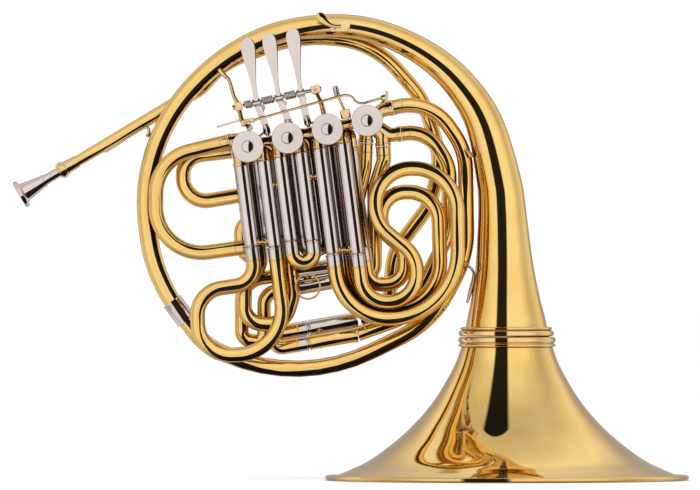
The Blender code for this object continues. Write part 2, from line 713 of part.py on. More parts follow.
def lever(number):
    """A hinged lever: its spoon-shaped touch, its hub on the axle and the arm over the valves."""
    hub_along, foot_along, tip_along = LEVER_PLACES[number]
    hub = row_point(hub_along, AXLE_DOWN, AXLE_Y)
    row = (row_point(1, 0, 0) - row_point(0, 0, 0)).normalized()
    body = rod(f"hub_{number}", hub - row * HUB_HALF, hub + row * HUB_HALF, HUB_R, USE["silver"],
               sides=14)
    # The touch: (distance up from the axle, half width, y).
    stations = ((0.0, 1.9, AXLE_Y - 1.2), (9.0, 1.9, AXLE_Y - 3.0), (24.0, 3.6, AXLE_Y - 4.5),
                (40.0, 5.6, AXLE_Y - 5.0), (49.0, 6.3, AXLE_Y - 4.0), (53.4, 4.6, AXLE_Y - 3.4),
                (55.0, 1.8, AXLE_Y - 3.2))
    work = bmesh.new()
    rings = []
    for up, half, y in stations:
        along = foot_along + (tip_along - foot_along) * up / TOUCH_LENGTH
        ring = []
        for side, depth in ((-half, 0.0), (half, 0.0), (half, 1.7), (-half, 1.7)):
            ring.append(work.verts.new(row_point(along + side, AXLE_DOWN - up, y + depth) * MM))
        rings.append(ring)
    for low, high in zip(rings, rings[1:]):
        for k in range(4):
            work.faces.new([low[k], low[(k + 1) % 4], high[(k + 1) % 4], high[k]])
    work.faces.new(rings[0])
    work.faces.new(rings[-1])
    bmesh.ops.recalc_face_normals(work, faces=work.faces)
    touch = from_bmesh(f"touch_{number}", work, USE["silver"], True)
    # The arm runs back from the hub to the link.
    link = LINK_TOPS[number]
    arm_end = row_point(link, -29.0, LINK_Y - 3.4)
    arm = tube(f"arm_{number}", [hub + Vector((0, 1.0, 0)),
                                 row_point((hub_along + link) / 2, -33.0, -8.0),
                                 arm_end], [2.2, 2.0, 2.0], USE["silver"], wall=None,
               helper=True)
    arm = as_mesh(arm)
    hole = rod(f"axle_hole_{number}", hub - row * 9, hub + row * 9, AXLE_R + 0.35, USE["silver"],
               sides=12)
    combine(body, [touch, arm])
    combine(body, [hole], "DIFFERENCE")
    made = settle(body, f"lever_{number}")
    return pivot_at(made, hub)


def axle():
    """The axle rod, the brass post at its right end and the foot on the third valve."""
    body = rod("axle_rod", row_point(3.2, AXLE_DOWN, AXLE_Y), row_point(66.0, AXLE_DOWN, AXLE_Y), AXLE_R,
               USE["steel"], sides=12)
    block_right = block("axle_block", row_point(67.5, AXLE_DOWN, AXLE_Y), (8.0, 7.5, 7.0), USE["steel"],
                        ROW_TILT_DEG)
    foot = as_mesh(tube("axle_foot", [row_point(67.5, AXLE_DOWN + 2, AXLE_Y + 2),
                                      row_point(68.5, -24, -20),
                                      row_point(68.8, -12.9, -18)], [1.7, 1.7, 2.4], USE["steel"],
                        wall=None, helper=True))
    combine(body, [block_right, foot])
    return settle(body, "lever_axle")


def axle_brace():
    """The stay that holds the left end of the axle and the thumb lever to the body ring."""
    body = block("brace_block", row_point(-0.4, AXLE_DOWN, AXLE_Y), (6.0, 8.0, 7.5), USE["pale"],
                 ROW_TILT_DEG)
    stem = as_mesh(tube("brace_stem", [row_point(-0.4, AXLE_DOWN, AXLE_Y),
                                       Vector((-231.2, 325.2, -24.0)).xzy, Vector((-235.5, 338.8,
                                                                                   -14.0)).xzy,
                                       Vector((-239.7, 343.0, -9.2)).xzy, Vector((-243.9, 348.1,
                                                                                  -9.0)).xzy],
                        [2.0, 1.7, 1.7, 2.4, 1.6], USE["pale"], wall=None, helper=True))
    drop = as_mesh(tube("brace_drop", [row_point(-0.4, AXLE_DOWN, AXLE_Y + 1),
                                       row_point(-0.4, -34.0, -20.0),
                                       row_point(0.2, -24.0, -13.5), THUMB_PIVOT + Vector((0, 9.0, 0))],
                        [2.2, 2.2, 2.0, 2.0], USE["pale"], wall=None, helper=True))
    pin = rod("thumb_pin", THUMB_PIVOT + Vector((0, -6.2, 0)), THUMB_PIVOT + Vector((0, 9.0, 0)), 1.15,
              USE["pale"])
    combine(body, [stem, drop, pin])
    return settle(body, "axle_brace")


def lever_spring(number, start, end):
    """A coil spring round the axle, between two hubs."""
    turns = 3
    steps = 7
    row = (row_point(1, 0, 0) - row_point(0, 0, 0)).normalized()
    up = row.cross(Vector((0, 1, 0))).normalized()
    count = turns * steps
    line = []
    for k in range(count + 1):
        angle = 2 * math.pi * k / steps
        along = start + (end - start) * k / count
        centre = row_point(along, AXLE_DOWN, AXLE_Y)
        line.append(centre + (Vector((0, 1, 0)) * math.cos(angle) + up * math.sin(angle)) * 2.75)
    return tube(f"lever_spring_{number}", line, [0.5] * len(line), USE["steel"], wall=None, resolution=0)


def link_rod(number):
    """The link that hangs from a lever's arm and turns the stop arm of its valve."""
    centre = valve_point(number, 0.0)
    side = -1 if number == 3 else 1
    angle = math.radians(45 if side > 0 else 135)
    pin = centre + Vector((math.cos(angle), 0, math.sin(angle))) * ARM_PIN_R
    pin.y = LINK_Y
    top = row_point(LINK_TOPS[number], -30.0, LINK_Y)
    low = row_point(LINK_TOPS[number] - 2.2, -11.0, LINK_Y)
    line = [top + (top - low).normalized() * 2.0, top, top + (low - top) * 0.15, top + (low - top) * 0.5,
            top + (low - top) * 0.55, low, low * 0.3 + pin * 0.7, pin]
    radii = [2.0, 2.7, 2.0, 2.0, 2.6, 2.6, 1.5, 2.6]
    made = tube(f"link_rod_{number}", line, radii, USE["silver"], wall=None)
    return pivot_at(made, top)




def thumb_parts():
    """The thumb lever, its hinge post and the long push rod to the fourth valve."""
    pin = Vector((-215.6, 304.4, -38.0)).xzy
    knob = Vector((-220.6, 302.8, -27.0)).xzy
    body = rod("thumb_hub", THUMB_PIVOT + Vector((0, -5, 0)), THUMB_PIVOT + Vector((0, 4, 0)), 3.0,
               USE["silver"])
    crank = as_mesh(tube("thumb_crank", [THUMB_PIVOT + Vector((0, -3, 0)), knob + Vector((0, -5, 0))],
                         [2.4, 2.6], USE["silver"], wall=None, helper=True))
    head = block("thumb_head", knob + Vector((0, -1.5, 0)), (9.0, 12.0, 5.4), USE["silver"], 14.0)
    bar = block("thumb_touch", Vector((-235.5, 301.9, -27.8)).xzy, (21.0, 12.4, 1.8), USE["silver"], 16.5)
    hole = rod("thumb_hole", THUMB_PIVOT + Vector((0, -9, 0)), THUMB_PIVOT + Vector((0, 9, 0)), 1.5,
               USE["silver"])
    combine(body, [crank, head, bar])
    combine(body, [hole], "DIFFERENCE")
    lever_made = settle(body, "thumb_lever")
    pivot_at(lever_made, THUMB_PIVOT)

    end = Vector((-106.7, 323.6, -38.0)).xzy
    over = Vector((-103.3, 323.6, LINK_Y)).xzy
    centre = valve_point(4, 0.0)
    drop = centre + Vector((math.cos(math.radians(45)), 0, math.sin(math.radians(45)))) * THUMB_PIN_R
    drop.y = LINK_Y
    line = [pin + Vector((-1.8, 0, -0.4)), pin, pin + Vector((1.8, 0, 0.4)),
            Vector((-144.0, 324.1, -38.0)).xzy,
            Vector((-137.2, 325.6, -38.0)).xzy, Vector((-131.7, 324.4, -38.0)).xzy,
            Vector((-127.5, 319.9, -38.0)).xzy, Vector((-121.1, 319.0, -38.0)).xzy, end]
    radii = [1.9, 2.2, 1.1, 1.1, 1.5, 1.5, 1.5, 1.3, 1.3]
    rod_body = as_mesh(tube("push_line", line, radii, USE["pale"], wall=None, helper=True))
    joint = ball("push_joint", end + Vector((0.8, 0, 0)), 2.8, USE["pale"])
    upright = block("push_upright", Vector((-103.0, 324.2, -38.0)).xzy, (3.6, 5.0, 9.6), USE["pale"], 0.0)
    across = as_mesh(tube("push_across", [Vector((-103.3, 323.6, -38.0)).xzy, over,
                                          drop + Vector((0.0, 0, 1.0)), drop],
                          [1.5, 1.5, 1.7, 2.2], USE["pale"], wall=None, helper=True))
    combine(rod_body, [joint, upright, across])
    made = settle(rod_body, "thumb_push_rod")
    pivot_at(made, end)


# ---- braces and the finger hook ----------------------------------------------------------------

def wire(name, points, radii, material, resolution=1):
    return tube(name, points, radii, material, wall=None, resolution=resolution)


def braces():
    wire("leadpipe_brace", [Vector((-341.3, 278.2, 9.2)).xzy, Vector((-338.8, 279.5, 9.2)).xzy,
                            Vector((-312.5, 295.9, 9.0)).xzy, Vector((-305.8, 298.7, 7.6)).xzy,
                            Vector((-303.2, 295.6, 4.0)).xzy, Vector((-304.6, 291.4, 0.0)).xzy],
         [1.0, 1.5, 1.3, 1.3, 1.3, 1.6], USE["pale"])
    wire("bell_brace", [Vector((-34.3, 184.6, -8.0)).xzy, Vector((-32.9, 181.4, -10.6)).xzy,
                        Vector((-30.2, 179.1, -11.0)).xzy, Vector((-28.3, 173.6, -6.0)).xzy,
                        Vector((-30.8, 160.9, -3.0)).xzy, Vector((-34.0, 149.9, -2.0)).xzy],
         [1.0, 1.3, 1.3, 1.3, 1.8, 1.0], USE["pale"])
    wire("ring_brace", [Vector((-29.5, 273.8, -8.4)).xzy, Vector((-30.7, 275.3, -8.8)).xzy,
                        Vector((-33.7, 278.7, -8.9)).xzy, Vector((-34.9, 279.8, -8.9)).xzy],
         [1.6, 2.2, 1.4, 2.2], USE["pale"])


def finger_hook():
    """The curved rest for the little finger, screwed to a slotted plate on the bell branch."""
    outline = [(-149.1, 379.5), (-149.9, 384.1), (-147.4, 387.6), (-134.7, 390.1), (-132.6, 386.2),
               (-133.8, 381.6), (-137.2, 379.8)]
    place = [Vector((x, -12.6, z)) for x, z in outline]
    foot = plate("hook_foot", place, (0, 1, 0), 2.0, USE["pale"])
    foot_made = settle(foot, "hook_plate")
    bend = [Vector((-140.6, 384.4, -14.4)).xzy, Vector((-147.4, 384.5, -14.6)).xzy, Vector((-152.9,
                                                                                            387.1,
                                                                                            -15.4)).xzy,
            Vector((-157.1, 391.7, -16.4)).xzy, Vector((-157.9, 395.7, -16.6)).xzy]
    wire("finger_hook", bend, [1.5, 1.5, 2.6, 4.4, 4.2], USE["pale"], resolution=2)
    return foot_made


# ---- build -------------------------------------------------------------------------------------

clear_scene()
PARTS = new_collection("french_horn")
HELPERS = new_collection("cutters", hidden=True)
USE = {
    "gold": metal("lacquered_brass", (0.86, 0.60, 0.22), 0.14),
    "pale": metal("pale_lacquered_brass", (0.88, 0.68, 0.34), 0.16),
    "silver": metal("nickel_silver", (0.78, 0.73, 0.72), 0.2),
    "steel": metal("polished_steel", (0.62, 0.6, 0.6), 0.25),
}

bell_flare()
screw_rings()
bell_branch()
first_branch()
leadpipe()
mouthpiece_end()
for valve in (1, 2, 3, 4):
    casing(valve)
    valve_cap(valve)
rotor(1, 45.0, ARM_PIN_R)
rotor(2, 45.0, ARM_PIN_R)
rotor(3, 135.0, ARM_PIN_R)
rotor(4, 45.0, THUMB_PIN_R)
sleeves()
front_slides()
back_slides()
pull_ring()
tuning_slides()
fixed_tubes()
for key in (1, 2, 3):
    lever(key)
    link_rod(key)
axle()
axle_brace()
lever_spring(1, 5.0, 11.0)
lever_spring(2, 20.0, 30.0)
lever_spring(3, 39.5, 49.0)
thumb_parts()
braces()
finger_hook()

horn = bpy.data.objects.new("horn", None)
PARTS.objects.link(horn)
for piece in [*PARTS.objects, *HELPERS.objects]:
    if piece is not horn:
        piece.parent = horn
horn.location.x = BELL_AXIS_X * MM
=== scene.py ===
"""The looks of the french horn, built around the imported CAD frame. Lengths are millimetres in the frame."""

import collections
import json
import math

import bmesh
import bpy
import numpy as np
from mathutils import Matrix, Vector


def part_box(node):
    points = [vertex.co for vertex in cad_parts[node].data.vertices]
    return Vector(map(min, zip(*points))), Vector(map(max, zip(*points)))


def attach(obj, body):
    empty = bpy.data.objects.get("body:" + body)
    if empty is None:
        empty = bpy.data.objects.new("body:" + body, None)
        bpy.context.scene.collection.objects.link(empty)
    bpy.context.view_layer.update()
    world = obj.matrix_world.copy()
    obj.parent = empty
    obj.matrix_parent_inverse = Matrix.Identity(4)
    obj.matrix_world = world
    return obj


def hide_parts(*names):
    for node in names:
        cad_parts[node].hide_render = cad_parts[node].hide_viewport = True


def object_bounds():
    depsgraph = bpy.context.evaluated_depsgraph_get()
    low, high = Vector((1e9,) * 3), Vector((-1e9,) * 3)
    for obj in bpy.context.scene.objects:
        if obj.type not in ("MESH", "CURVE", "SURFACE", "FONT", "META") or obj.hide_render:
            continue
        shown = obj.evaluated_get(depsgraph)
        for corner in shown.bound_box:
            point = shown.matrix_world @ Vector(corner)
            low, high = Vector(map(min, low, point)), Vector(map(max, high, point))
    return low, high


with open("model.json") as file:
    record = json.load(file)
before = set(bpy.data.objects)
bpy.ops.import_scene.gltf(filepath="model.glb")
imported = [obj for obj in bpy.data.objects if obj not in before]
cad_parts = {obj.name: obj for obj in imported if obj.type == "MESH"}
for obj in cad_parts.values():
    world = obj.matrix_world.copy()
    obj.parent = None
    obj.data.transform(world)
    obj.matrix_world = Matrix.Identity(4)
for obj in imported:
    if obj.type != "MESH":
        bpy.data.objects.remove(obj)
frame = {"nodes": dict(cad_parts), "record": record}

CAD_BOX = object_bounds()
MM = 0.001
RECORD = frame["record"]
JOINTS = {joint["name"]: joint for joint in RECORD["behaviour"]["joints"]}
SLOTS = {part["node"]: part["material_slot"] for part in RECORD["subparts"]}
OWNERS = {node: body for body, nodes in RECORD["behaviour"]["bodies"].items() for node in nodes}
X, Y, Z = np.eye(3)
SIDES = 36
SLEEVE = 6.3        # radius of a slide's fixed outer sleeve
STAY_FOOT = 6.2     # from a sleeve's axis to the foot of a stay
# How far off its own plane a point of a CAD tube's end may lie, and how wide such an end may be.
FLATS = (0.02, 0.3)
REACHES = (1.2, 2.5, 4.5, 8.0, 13.5, 16.0, 19.5, 26.0, 45.0, 90.0)
WELD = 0.004        # points of the frame closer than this are one point
WALL_EDGE = 0.95    # the rim of a hollow CAD tube has edges shorter than this
BAR_SIDES = 6       # of the solid CAD bars that grow out of a bigger solid
BEND_STEP = 0.11    # radians to a segment in a round bend
STRAIGHT = 0.03     # a turn of fewer radians than this is a straight run
SHARP = 38          # degrees between two faces from which their edge is drawn sharp


def arr(*values):
    return np.array(values, float)


def unit(vector):
    return vector / max(1e-12, np.linalg.norm(vector))


def heading(degrees):
    """The direction at this angle from +X towards +Z."""
    return arr(math.cos(math.radians(degrees)), 0, math.sin(math.radians(degrees)))


def at_depth(place, y):
    """The place moved along Y to this depth."""
    return arr(place[0], y, place[2])


def square_to(way):
    """Two directions square to this one and to each other."""
    side = unit(np.cross(way, Z if abs(way @ Z) < 0.9 else X))
    return side, np.cross(way, side)


# ---- reading the frame ----

def joint_place(name):
    return np.array(JOINTS[name]["pos_m"], float) / MM


def joint_axis(name):
    return unit(np.array(JOINTS[name]["axis"], float))


def node_points(node):
    return np.array([v.co for v in frame["nodes"][node].data.vertices], float) / MM


def box(node):
    """The node's lowest and highest corner."""
    return np.array(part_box(node), float) / MM


def about_axis(points, origin, way):
    """How far along the axis each point lies, and how far away from it."""
    offset = points - origin
    along = offset @ way
    return along, np.linalg.norm(offset - along[:, None] * way, axis=1)


def welded(node):
    """The node's points without duplicates, each point's neighbours, and the faces."""
    work = bmesh.new()
    work.from_mesh(frame["nodes"][node].data)
    bmesh.ops.remove_doubles(work, verts=work.verts, dist=WELD * MM)
    work.verts.ensure_lookup_table()
    points = np.array([v.co for v in work.verts], float) / MM
    near = [{edge.other_vert(v).index for edge in v.link_edges} for v in work.verts]
    faces = [[v.index for v in face.verts] for face in work.faces]
    work.free()
    return points, near, faces


def spread(near, start):
    """Layers of points by how many edges away from the start they are."""
    depth = {s: 0 for s in start}
    queue = collections.deque(start)
    layers = [list(start)]
    while queue:
        a = queue.popleft()
        for b in near[a]:
            if b not in depth:
                depth[b] = depth[a] + 1
                if len(layers) <= depth[b]:
                    layers.append([])
                layers[depth[b]].append(b)
                queue.append(b)
    return layers


def end_run(points, near, touching, order, exact=None):
    """The longest run of equally full layers that starts at an open end near one of these points."""
    best = (0, [])
    for far in order:
        away = np.linalg.norm(points - points[far], axis=1)
        for face in touching[far]:
            a, b, c = (points[v] for v in face[:3])
            normal = np.cross(b - a, c - a)
            if np.linalg.norm(normal) < 1e-6:
                continue
            height = np.abs((points - a) @ unit(normal))
            tried = set()
            for flat in FLATS:
                for reach in REACHES:
                    start = np.where((height < flat) & (away < reach))[0]
                    if len(start) < 4 or len(start) in tried or (exact and len(start) != exact):
                        continue
                    tried.add(len(start))
                    layers = spread(near, [int(s) for s in start])
                    even = 0
                    while even < len(layers) and len(layers[even]) == len(start):
                        even += 1
                    if even > 1 and even * len(start) > best[0]:
                        best = (even * len(start), layers[:even])
        if best[0] == len(points):
            break
    return best[1]


def rings(node, near_point=None):
    """Centres and radii of the rings of points that a CAD tube is made of, from one end to the other.
    With near_point, only the run of equal rings that starts at the end nearest to that point."""
    points, near, faces = welded(node)
    touching = [[] for _ in points]
    for face in faces:
        for v in face:
            touching[v].append(face)
    if near_point is not None:
        order = np.argsort(np.linalg.norm(points - near_point, axis=1))[:7]
        layers = end_run(points, near, touching, order, BAR_SIDES)
    else:
        # A tube's wall shows as short edges at its two open ends; a bar's end is a farthest point.
        order = [a for a in range(len(points))
                 if any(np.linalg.norm(points[a] - points[b]) < WALL_EDGE for b in near[a])]
        order = order or spread(near, [0])[-1] + list(range(len(points)))
        layers = end_run(points, near, touching, order)
        used = {v for layer in layers for v in layer}
        rest = [a for a in order if a not in used]
        if len(used) < len(points) and rest:
            other = []
            for layer in end_run(points, near, touching, rest):
                if used & set(layer):
                    break
                other.append(layer)
            layers = layers + other[::-1]
    found = []
    for layer in layers:
        centre = points[layer].mean(0)
        found.append((centre, np.linalg.norm(points[layer] - centre, axis=1).max()))
    return found


def rings_from(way, node):
    """The node's rings, from the end that lies farther along this direction."""
    found = rings(node)
    return found if found[0][0] @ way >= found[-1][0] @ way else found[::-1]


def legs_of(found):
    """The two straight ends of a bent slide: the crook's ring, the way out of the crook, and the end ring."""
    pairs = ((found[1], found[0]), (found[-2], found[-1]))
    return [(inner[0], unit(outer[0] - inner[0]), outer) for inner, outer in pairs]


# ---- centre lines ----

def turn_y(vector, angle):
    """The vector turned about the Y axis."""
    c, s = math.cos(angle), math.sin(angle)
    return arr(c * vector[0] + s * vector[2], vector[1], c * vector[2] - s * vector[0])


def smooth_line(found, arcs=True, pieces=6):
    """The curve that a CAD tube's rings were sampled from, and its radius there.
    With arcs it has straight runs and round bends."""
    p = np.array([centre for centre, _ in found])
    r = np.array([radius for _, radius in found], float)
    chords = p[1:] - p[:-1]
    length = np.linalg.norm(chords, axis=1)
    way = chords / length[:, None]
    count = len(p)
    bend = np.zeros(count - 1)
    tangents = np.zeros((count, 3))
    for k in range(1, count - 1):
        if not arcs:
            tangents[k] = unit(p[k + 1] - p[k - 1])
            continue
        turn = math.acos(max(-1.0, min(1.0, float(way[k - 1] @ way[k]))))
        if np.cross(way[k - 1], way[k])[1] < 0:
            turn = -turn
        bend[k] = 2 * turn - bend[k - 1]
        if abs(bend[k]) < STRAIGHT:
            bend[k] = 0.0
        tangent = turn_y(way[k - 1], bend[k - 1] / 2)
        tangent[1] = (way[k - 1][1] + way[k][1]) / 2
        tangents[k] = unit(tangent)
    tangents[0] = way[0] if arcs else unit(2 * way[0] - tangents[1])
    tangents[-1] = turn_y(way[-1], bend[-1] / 2) if arcs else unit(2 * way[-1] - tangents[-2])
    line = []
    sizes = []
    slope = np.gradient(r)
    for k in range(count - 1):
        angle = abs(bend[k])
        reach = length[k]
        if angle > STRAIGHT:
            reach = 4 * math.tan(angle / 4) * length[k] / (2 * math.sin(angle / 2))
        steps = max(1, math.ceil(angle / BEND_STEP)) if arcs else pieces
        for step in range(steps):
            t = step / steps
            h = (2 * t**3 - 3 * t**2 + 1, t**3 - 2 * t**2 + t, 3 * t**2 - 2 * t**3, t**3 - t**2)
            line.append(h[0] * p[k] + h[1] * reach * tangents[k] + h[2] * p[k + 1]
                        + h[3] * reach * tangents[k + 1])
            if arcs:
                sizes.append(r[k] + (r[k + 1] - r[k]) * t)
            else:
                sizes.append(h[0] * r[k] + h[1] * slope[k] + h[2] * r[k + 1] + h[3] * slope[k + 1])
    return np.array([*line, p[-1]]), np.array([*sizes, r[-1]])


def curve(points, pieces=6):
    """A smooth line through the points."""
    return smooth_line([(point, 1.0) for point in points], arcs=False, pieces=pieces)[0]


def rounded(before, corner, after, steps):
    """The points that round off a corner, from one point beside it to the other."""
    shares = [step / steps for step in range(steps + 1)]
    return [(1 - t) ** 2 * before + 2 * t * (1 - t) * corner + t**2 * after for t in shares]


def corner_line(points, radius, steps=8):
    """Straight runs through the points with every inner corner rounded to the radius."""
    points = [np.array(point, float) for point in points]
    line = [points[0]]
    for before, here, after in zip(points, points[1:], points[2:]):
        back, ahead = unit(before - here), unit(after - here)
        turn = math.pi - math.acos(max(-1.0, min(1.0, float(back @ ahead))))
        if turn < 0.02:
            line.append(here)
            continue
        room = min(np.linalg.norm(before - here), np.linalg.norm(after - here)) * 0.49
        reach = min(radius * math.tan(turn / 2), room)
        line += rounded(here + back * reach, here, here + ahead * reach, steps)
    return np.array([*line, points[-1]])


def distances(line):
    return np.concatenate([[0.0], np.cumsum(np.linalg.norm(line[1:] - line[:-1], axis=1))])


def along_line(line, shares, values):
    """A value at each point of the line, from its values at some shares of the line's length."""
    way = distances(line)
    return np.interp(way / way[-1], shares, values)


# ---- shapes: every one is (points, faces, material of each face) ----

# The studio's dark reflection on what is built next: how far across the tube it lies, half its width, and
# its kind. The kind is where the line stops rising with height, when it is above -1; such a line moves with
# the tube's place and direction. Between -1 and 0 it gets thinner high up. Down to -5 its width varies along
# the tube. Below -8.5 it drifts the way it does on the bell.
PLAIN = (0.0, 0.14, 0.5)
STRIPE = list(PLAIN)


def flowing(points, flow):
    """The points with the direction that their surface runs in and the place of its dark reflection."""
    extra = np.empty((len(points), 6))
    extra[:, :3] = flow
    extra[:, 3:] = STRIPE
    return np.hstack([points, extra])


def padded(points):
    points = np.asarray(points, float)
    if points.shape[1] == 9:
        return points
    return np.hstack([points, np.zeros((len(points), 6))])


def join(*shapes):
    points, faces, looks = [], [], []
    base = 0
    for p, f, m in shapes:
        points.append(padded(p))
        faces += [[v + base for v in face] for face in f]
        looks += m
        base += len(p)
    return np.concatenate(points), faces, looks


def wall(here, after, sides):
    """The faces between two rings of points, each given by its first point."""
    steps = [(s, (s + 1) % sides) for s in range(sides)]
    return [[here + s, here + t, after + t, after + s] for s, t in steps]


def sweep(line, radii, looks, sides=SIDES, closed=False, squash=None):
    """A round bar along a line. looks is one material or one for each segment."""
    line = np.asarray(line, float)
    count = len(line)
    radii = np.broadcast_to(radii, count)
    if isinstance(looks, str):
        looks = [looks] * count
    if closed:
        tangent = np.roll(line, -1, 0) - np.roll(line, 1, 0)
    else:
        tangent = np.gradient(line, axis=0)
    tangent = tangent / np.linalg.norm(tangent, axis=1)[:, None]
    side = Y if abs(tangent[0] @ Y) < 0.9 else X
    side = unit(side - tangent[0] * (side @ tangent[0]))
    angles = np.arange(sides) * 2 * math.pi / sides
    points = []
    for k in range(count):
        side = unit(side - tangent[k] * (side @ tangent[k]))
        other = np.cross(tangent[k], side)
        flat = radii[k] if squash is None else radii[k] * squash[k]
        points.append(line[k] + flat * np.cos(angles)[:, None] * side
                      + radii[k] * np.sin(angles)[:, None] * other)
    faces, materials = [], []
    for k in range(count if closed else count - 1):
        faces += wall(k * sides, (k + 1) % count * sides, sides)
        materials += [looks[k]] * sides
    if not closed:
        faces.append(list(range(sides)))
        faces.append(list(range((count - 1) * sides, count * sides))[::-1])
        materials += [looks[0], looks[-1]]
    return flowing(np.concatenate(points), np.repeat(tangent, sides, axis=0)), faces, materials


def pipe(line, radii, bands, sides=SIDES):
    """A bar along a line whose radius and material change at given distances.
    bands: (distance, change of radius, material from there on); a negative distance counts from the end."""
    s = distances(line)
    total = s[-1]
    marks = [(total + at if at < 0 else at, change, look) for at, change, look in bands]
    marks.sort(key=lambda mark: mark[0])
    stops = np.array(sorted(set(np.round(np.concatenate([s, [m[0] for m in marks]]), 4))))
    stops = stops[(stops >= 0) & (stops <= total)]
    keep = [0]
    fixed = {round(m[0], 4) for m in marks}
    for k in range(1, len(stops)):
        if stops[k] - stops[keep[-1]] > 0.12 or round(stops[k], 4) in fixed or k == len(stops) - 1:
            keep.append(k)
    stops = stops[keep]
    places = np.stack([np.interp(stops, s, line[:, axis]) for axis in range(3)], 1)
    base = np.interp(stops, s, np.broadcast_to(radii, len(line)))
    extra = np.interp(stops, [m[0] for m in marks], [m[1] for m in marks])
    looks = []
    for a, b in zip(stops, stops[1:]):
        passed = [mark[2] for mark in marks if mark[0] <= (a + b) / 2]
        looks.append(passed[-1] if passed else marks[0][2])
    return sweep(places, base + extra, [*looks, looks[-1]], sides)


def bead(at, width, height, look, after=None):
    """Bands for a small rounded bead round a tube."""
    out = []
    for t in (0.0, 0.12, 0.3, 0.5, 0.7, 0.88, 1.0):
        out.append((at + width * t, height * math.sin(math.pi * t) ** 0.6 if 0 < t < 1 else 0.0, look))
    out[-1] = (out[-1][0], 0.0, after or look)
    return out


def lathe(profile, origin, way, look, sides=SIDES, loop=False):
    """A turned shape. profile: (radius, distance along the axis) or the same with a material."""
    way = unit(np.array(way, float))
    side, other = square_to(way)
    angles = np.arange(sides) * 2 * math.pi / sides
    circle = np.cos(angles)[:, None] * side + np.sin(angles)[:, None] * other
    pointed = [item[0] < 1e-6 for item in profile]
    points, starts = [], []
    size = 0
    for item, point in zip(profile, pointed):
        centre = np.array(origin, float) + way * item[1]
        points.append(centre[None, :] if point else centre + item[0] * circle)
        starts.append(size)
        size += len(points[-1])
    faces, looks = [], []
    pairs = list(zip(range(len(profile)), range(1, len(profile))))
    if loop:
        pairs.append((len(profile) - 1, 0))
    for a, b in pairs:
        if pointed[a] and pointed[b]:
            continue
        band = wall(starts[a], starts[b], sides)
        if pointed[a]:
            band = [[starts[a], *face[2:]] for face in band]
        elif pointed[b]:
            band = [[*face[:2], starts[b]] for face in band]
        faces += band
        looks += [profile[a][2] if len(profile[a]) > 2 else look] * sides
    return flowing(np.concatenate(points), way), faces, looks


def curve_profile(points, steps=5):
    """A smooth profile through (radius, distance) points."""
    p = [np.array(point[:2], float) for point in points]
    p = [2 * p[0] - p[1], *p, 2 * p[-1] - p[-2]]
    out = []
    for a, b, c, d in zip(p, p[1:], p[2:], p[3:]):
        for step in range(steps):
            t = step / steps
            square, cube = a * 2 - b * 5 + c * 4 - d, b * 3 - a - c * 3 + d
            q = (b * 2 + (c - a) * t + square * t**2 + cube * t**3) / 2
            out.append((max(0.0, q[0]), q[1]))
    out.append(tuple(p[-2]))
    return out


def drum(place, way, radius, low, high, look, sides, chamfer=(0.4, 0.5)):
    """A short solid cylinder with bevelled rims. chamfer: how far they reach inwards and along the axis."""
    inward, along = chamfer
    profile = [(0.0, low), (radius - inward, low), (radius, low + along), (radius, high - along),
               (radius - inward, high), (0.0, high)]
    return lathe(profile, place, way, look, sides)


def from_bmesh(work, look):
    bmesh.ops.recalc_face_normals(work, faces=work.faces)
    work.verts.ensure_lookup_table()
    points = np.array([v.co for v in work.verts], float)
    faces = [[v.index for v in face.verts] for face in work.faces]
    work.free()
    return points, faces, [look] * len(faces)


def slab(outline, normal, thickness, look, bevel=0.4):
    """A plate with rounded edges, grown from its outline along the normal."""
    work = bmesh.new()
    face = work.faces.new([work.verts.new(Vector(point)) for point in outline])
    grown = bmesh.ops.extrude_face_region(work, geom=[face])
    moved = [part for part in grown["geom"] if isinstance(part, bmesh.types.BMVert)]
    bmesh.ops.translate(work, vec=Vector(np.array(normal, float) * thickness), verts=moved)
    bmesh.ops.recalc_face_normals(work, faces=work.faces)
    rim = [edge for edge in work.edges if len(edge.link_faces) == 2
           and edge.link_faces[0].normal.angle(edge.link_faces[1].normal) > 0.8]
    bmesh.ops.bevel(work, geom=rim, offset=bevel, segments=3, profile=0.5, affect="EDGES")
    return from_bmesh(work, look)


def brick(centre, size, look, axes=None, bevel=0.8):
    """A block with rounded edges. axes: its own x, y and z directions."""
    work = bmesh.new()
    bmesh.ops.create_cube(work, size=1.0)
    bmesh.ops.scale(work, vec=Vector(size), verts=work.verts)
    bmesh.ops.bevel(work, geom=work.edges[:], offset=bevel, segments=3, profile=0.5, affect="EDGES")
    points, faces, looks = from_bmesh(work, look)
    if axes is not None:
        points = points @ np.array(axes, float)
    return points + np.array(centre, float), faces, looks


def rounded_outline(points, radius, steps=5):
    """A closed outline with its corners rounded."""
    out = []
    count = len(points)
    for k in range(count):
        before, here, after = (np.array(points[(k + d) % count], float) for d in (-1, 0, 1))
        reach = min(radius, 0.45 * np.linalg.norm(before - here), 0.45 * np.linalg.norm(after - here))
        out += rounded(here + unit(before - here) * reach, here, here + unit(after - here) * reach, steps)
    return out


def screw(place, way, radius, height, slot_turn):
    """A slotted steel screw head standing on a face."""
    dome = [(radius * 0.98, -0.4), (radius, 0.0), (radius, height * 0.55), (radius * 0.86, height * 0.9),
            (radius * 0.4, height), (0.0, height)]
    way = unit(np.array(way, float))
    side, other = square_to(way)
    along = side * math.cos(slot_turn) + other * math.sin(slot_turn)
    # The slot is a thin dark block: painted shade where the slot would be.
    cut = brick(place + way * height * 0.93, (radius * 1.75, radius * 0.3, height * 0.24), "dark",
                (along, np.cross(way, along), way), 0.05)
    return join(lathe(dome, place, way, "steel", sides=20), cut)


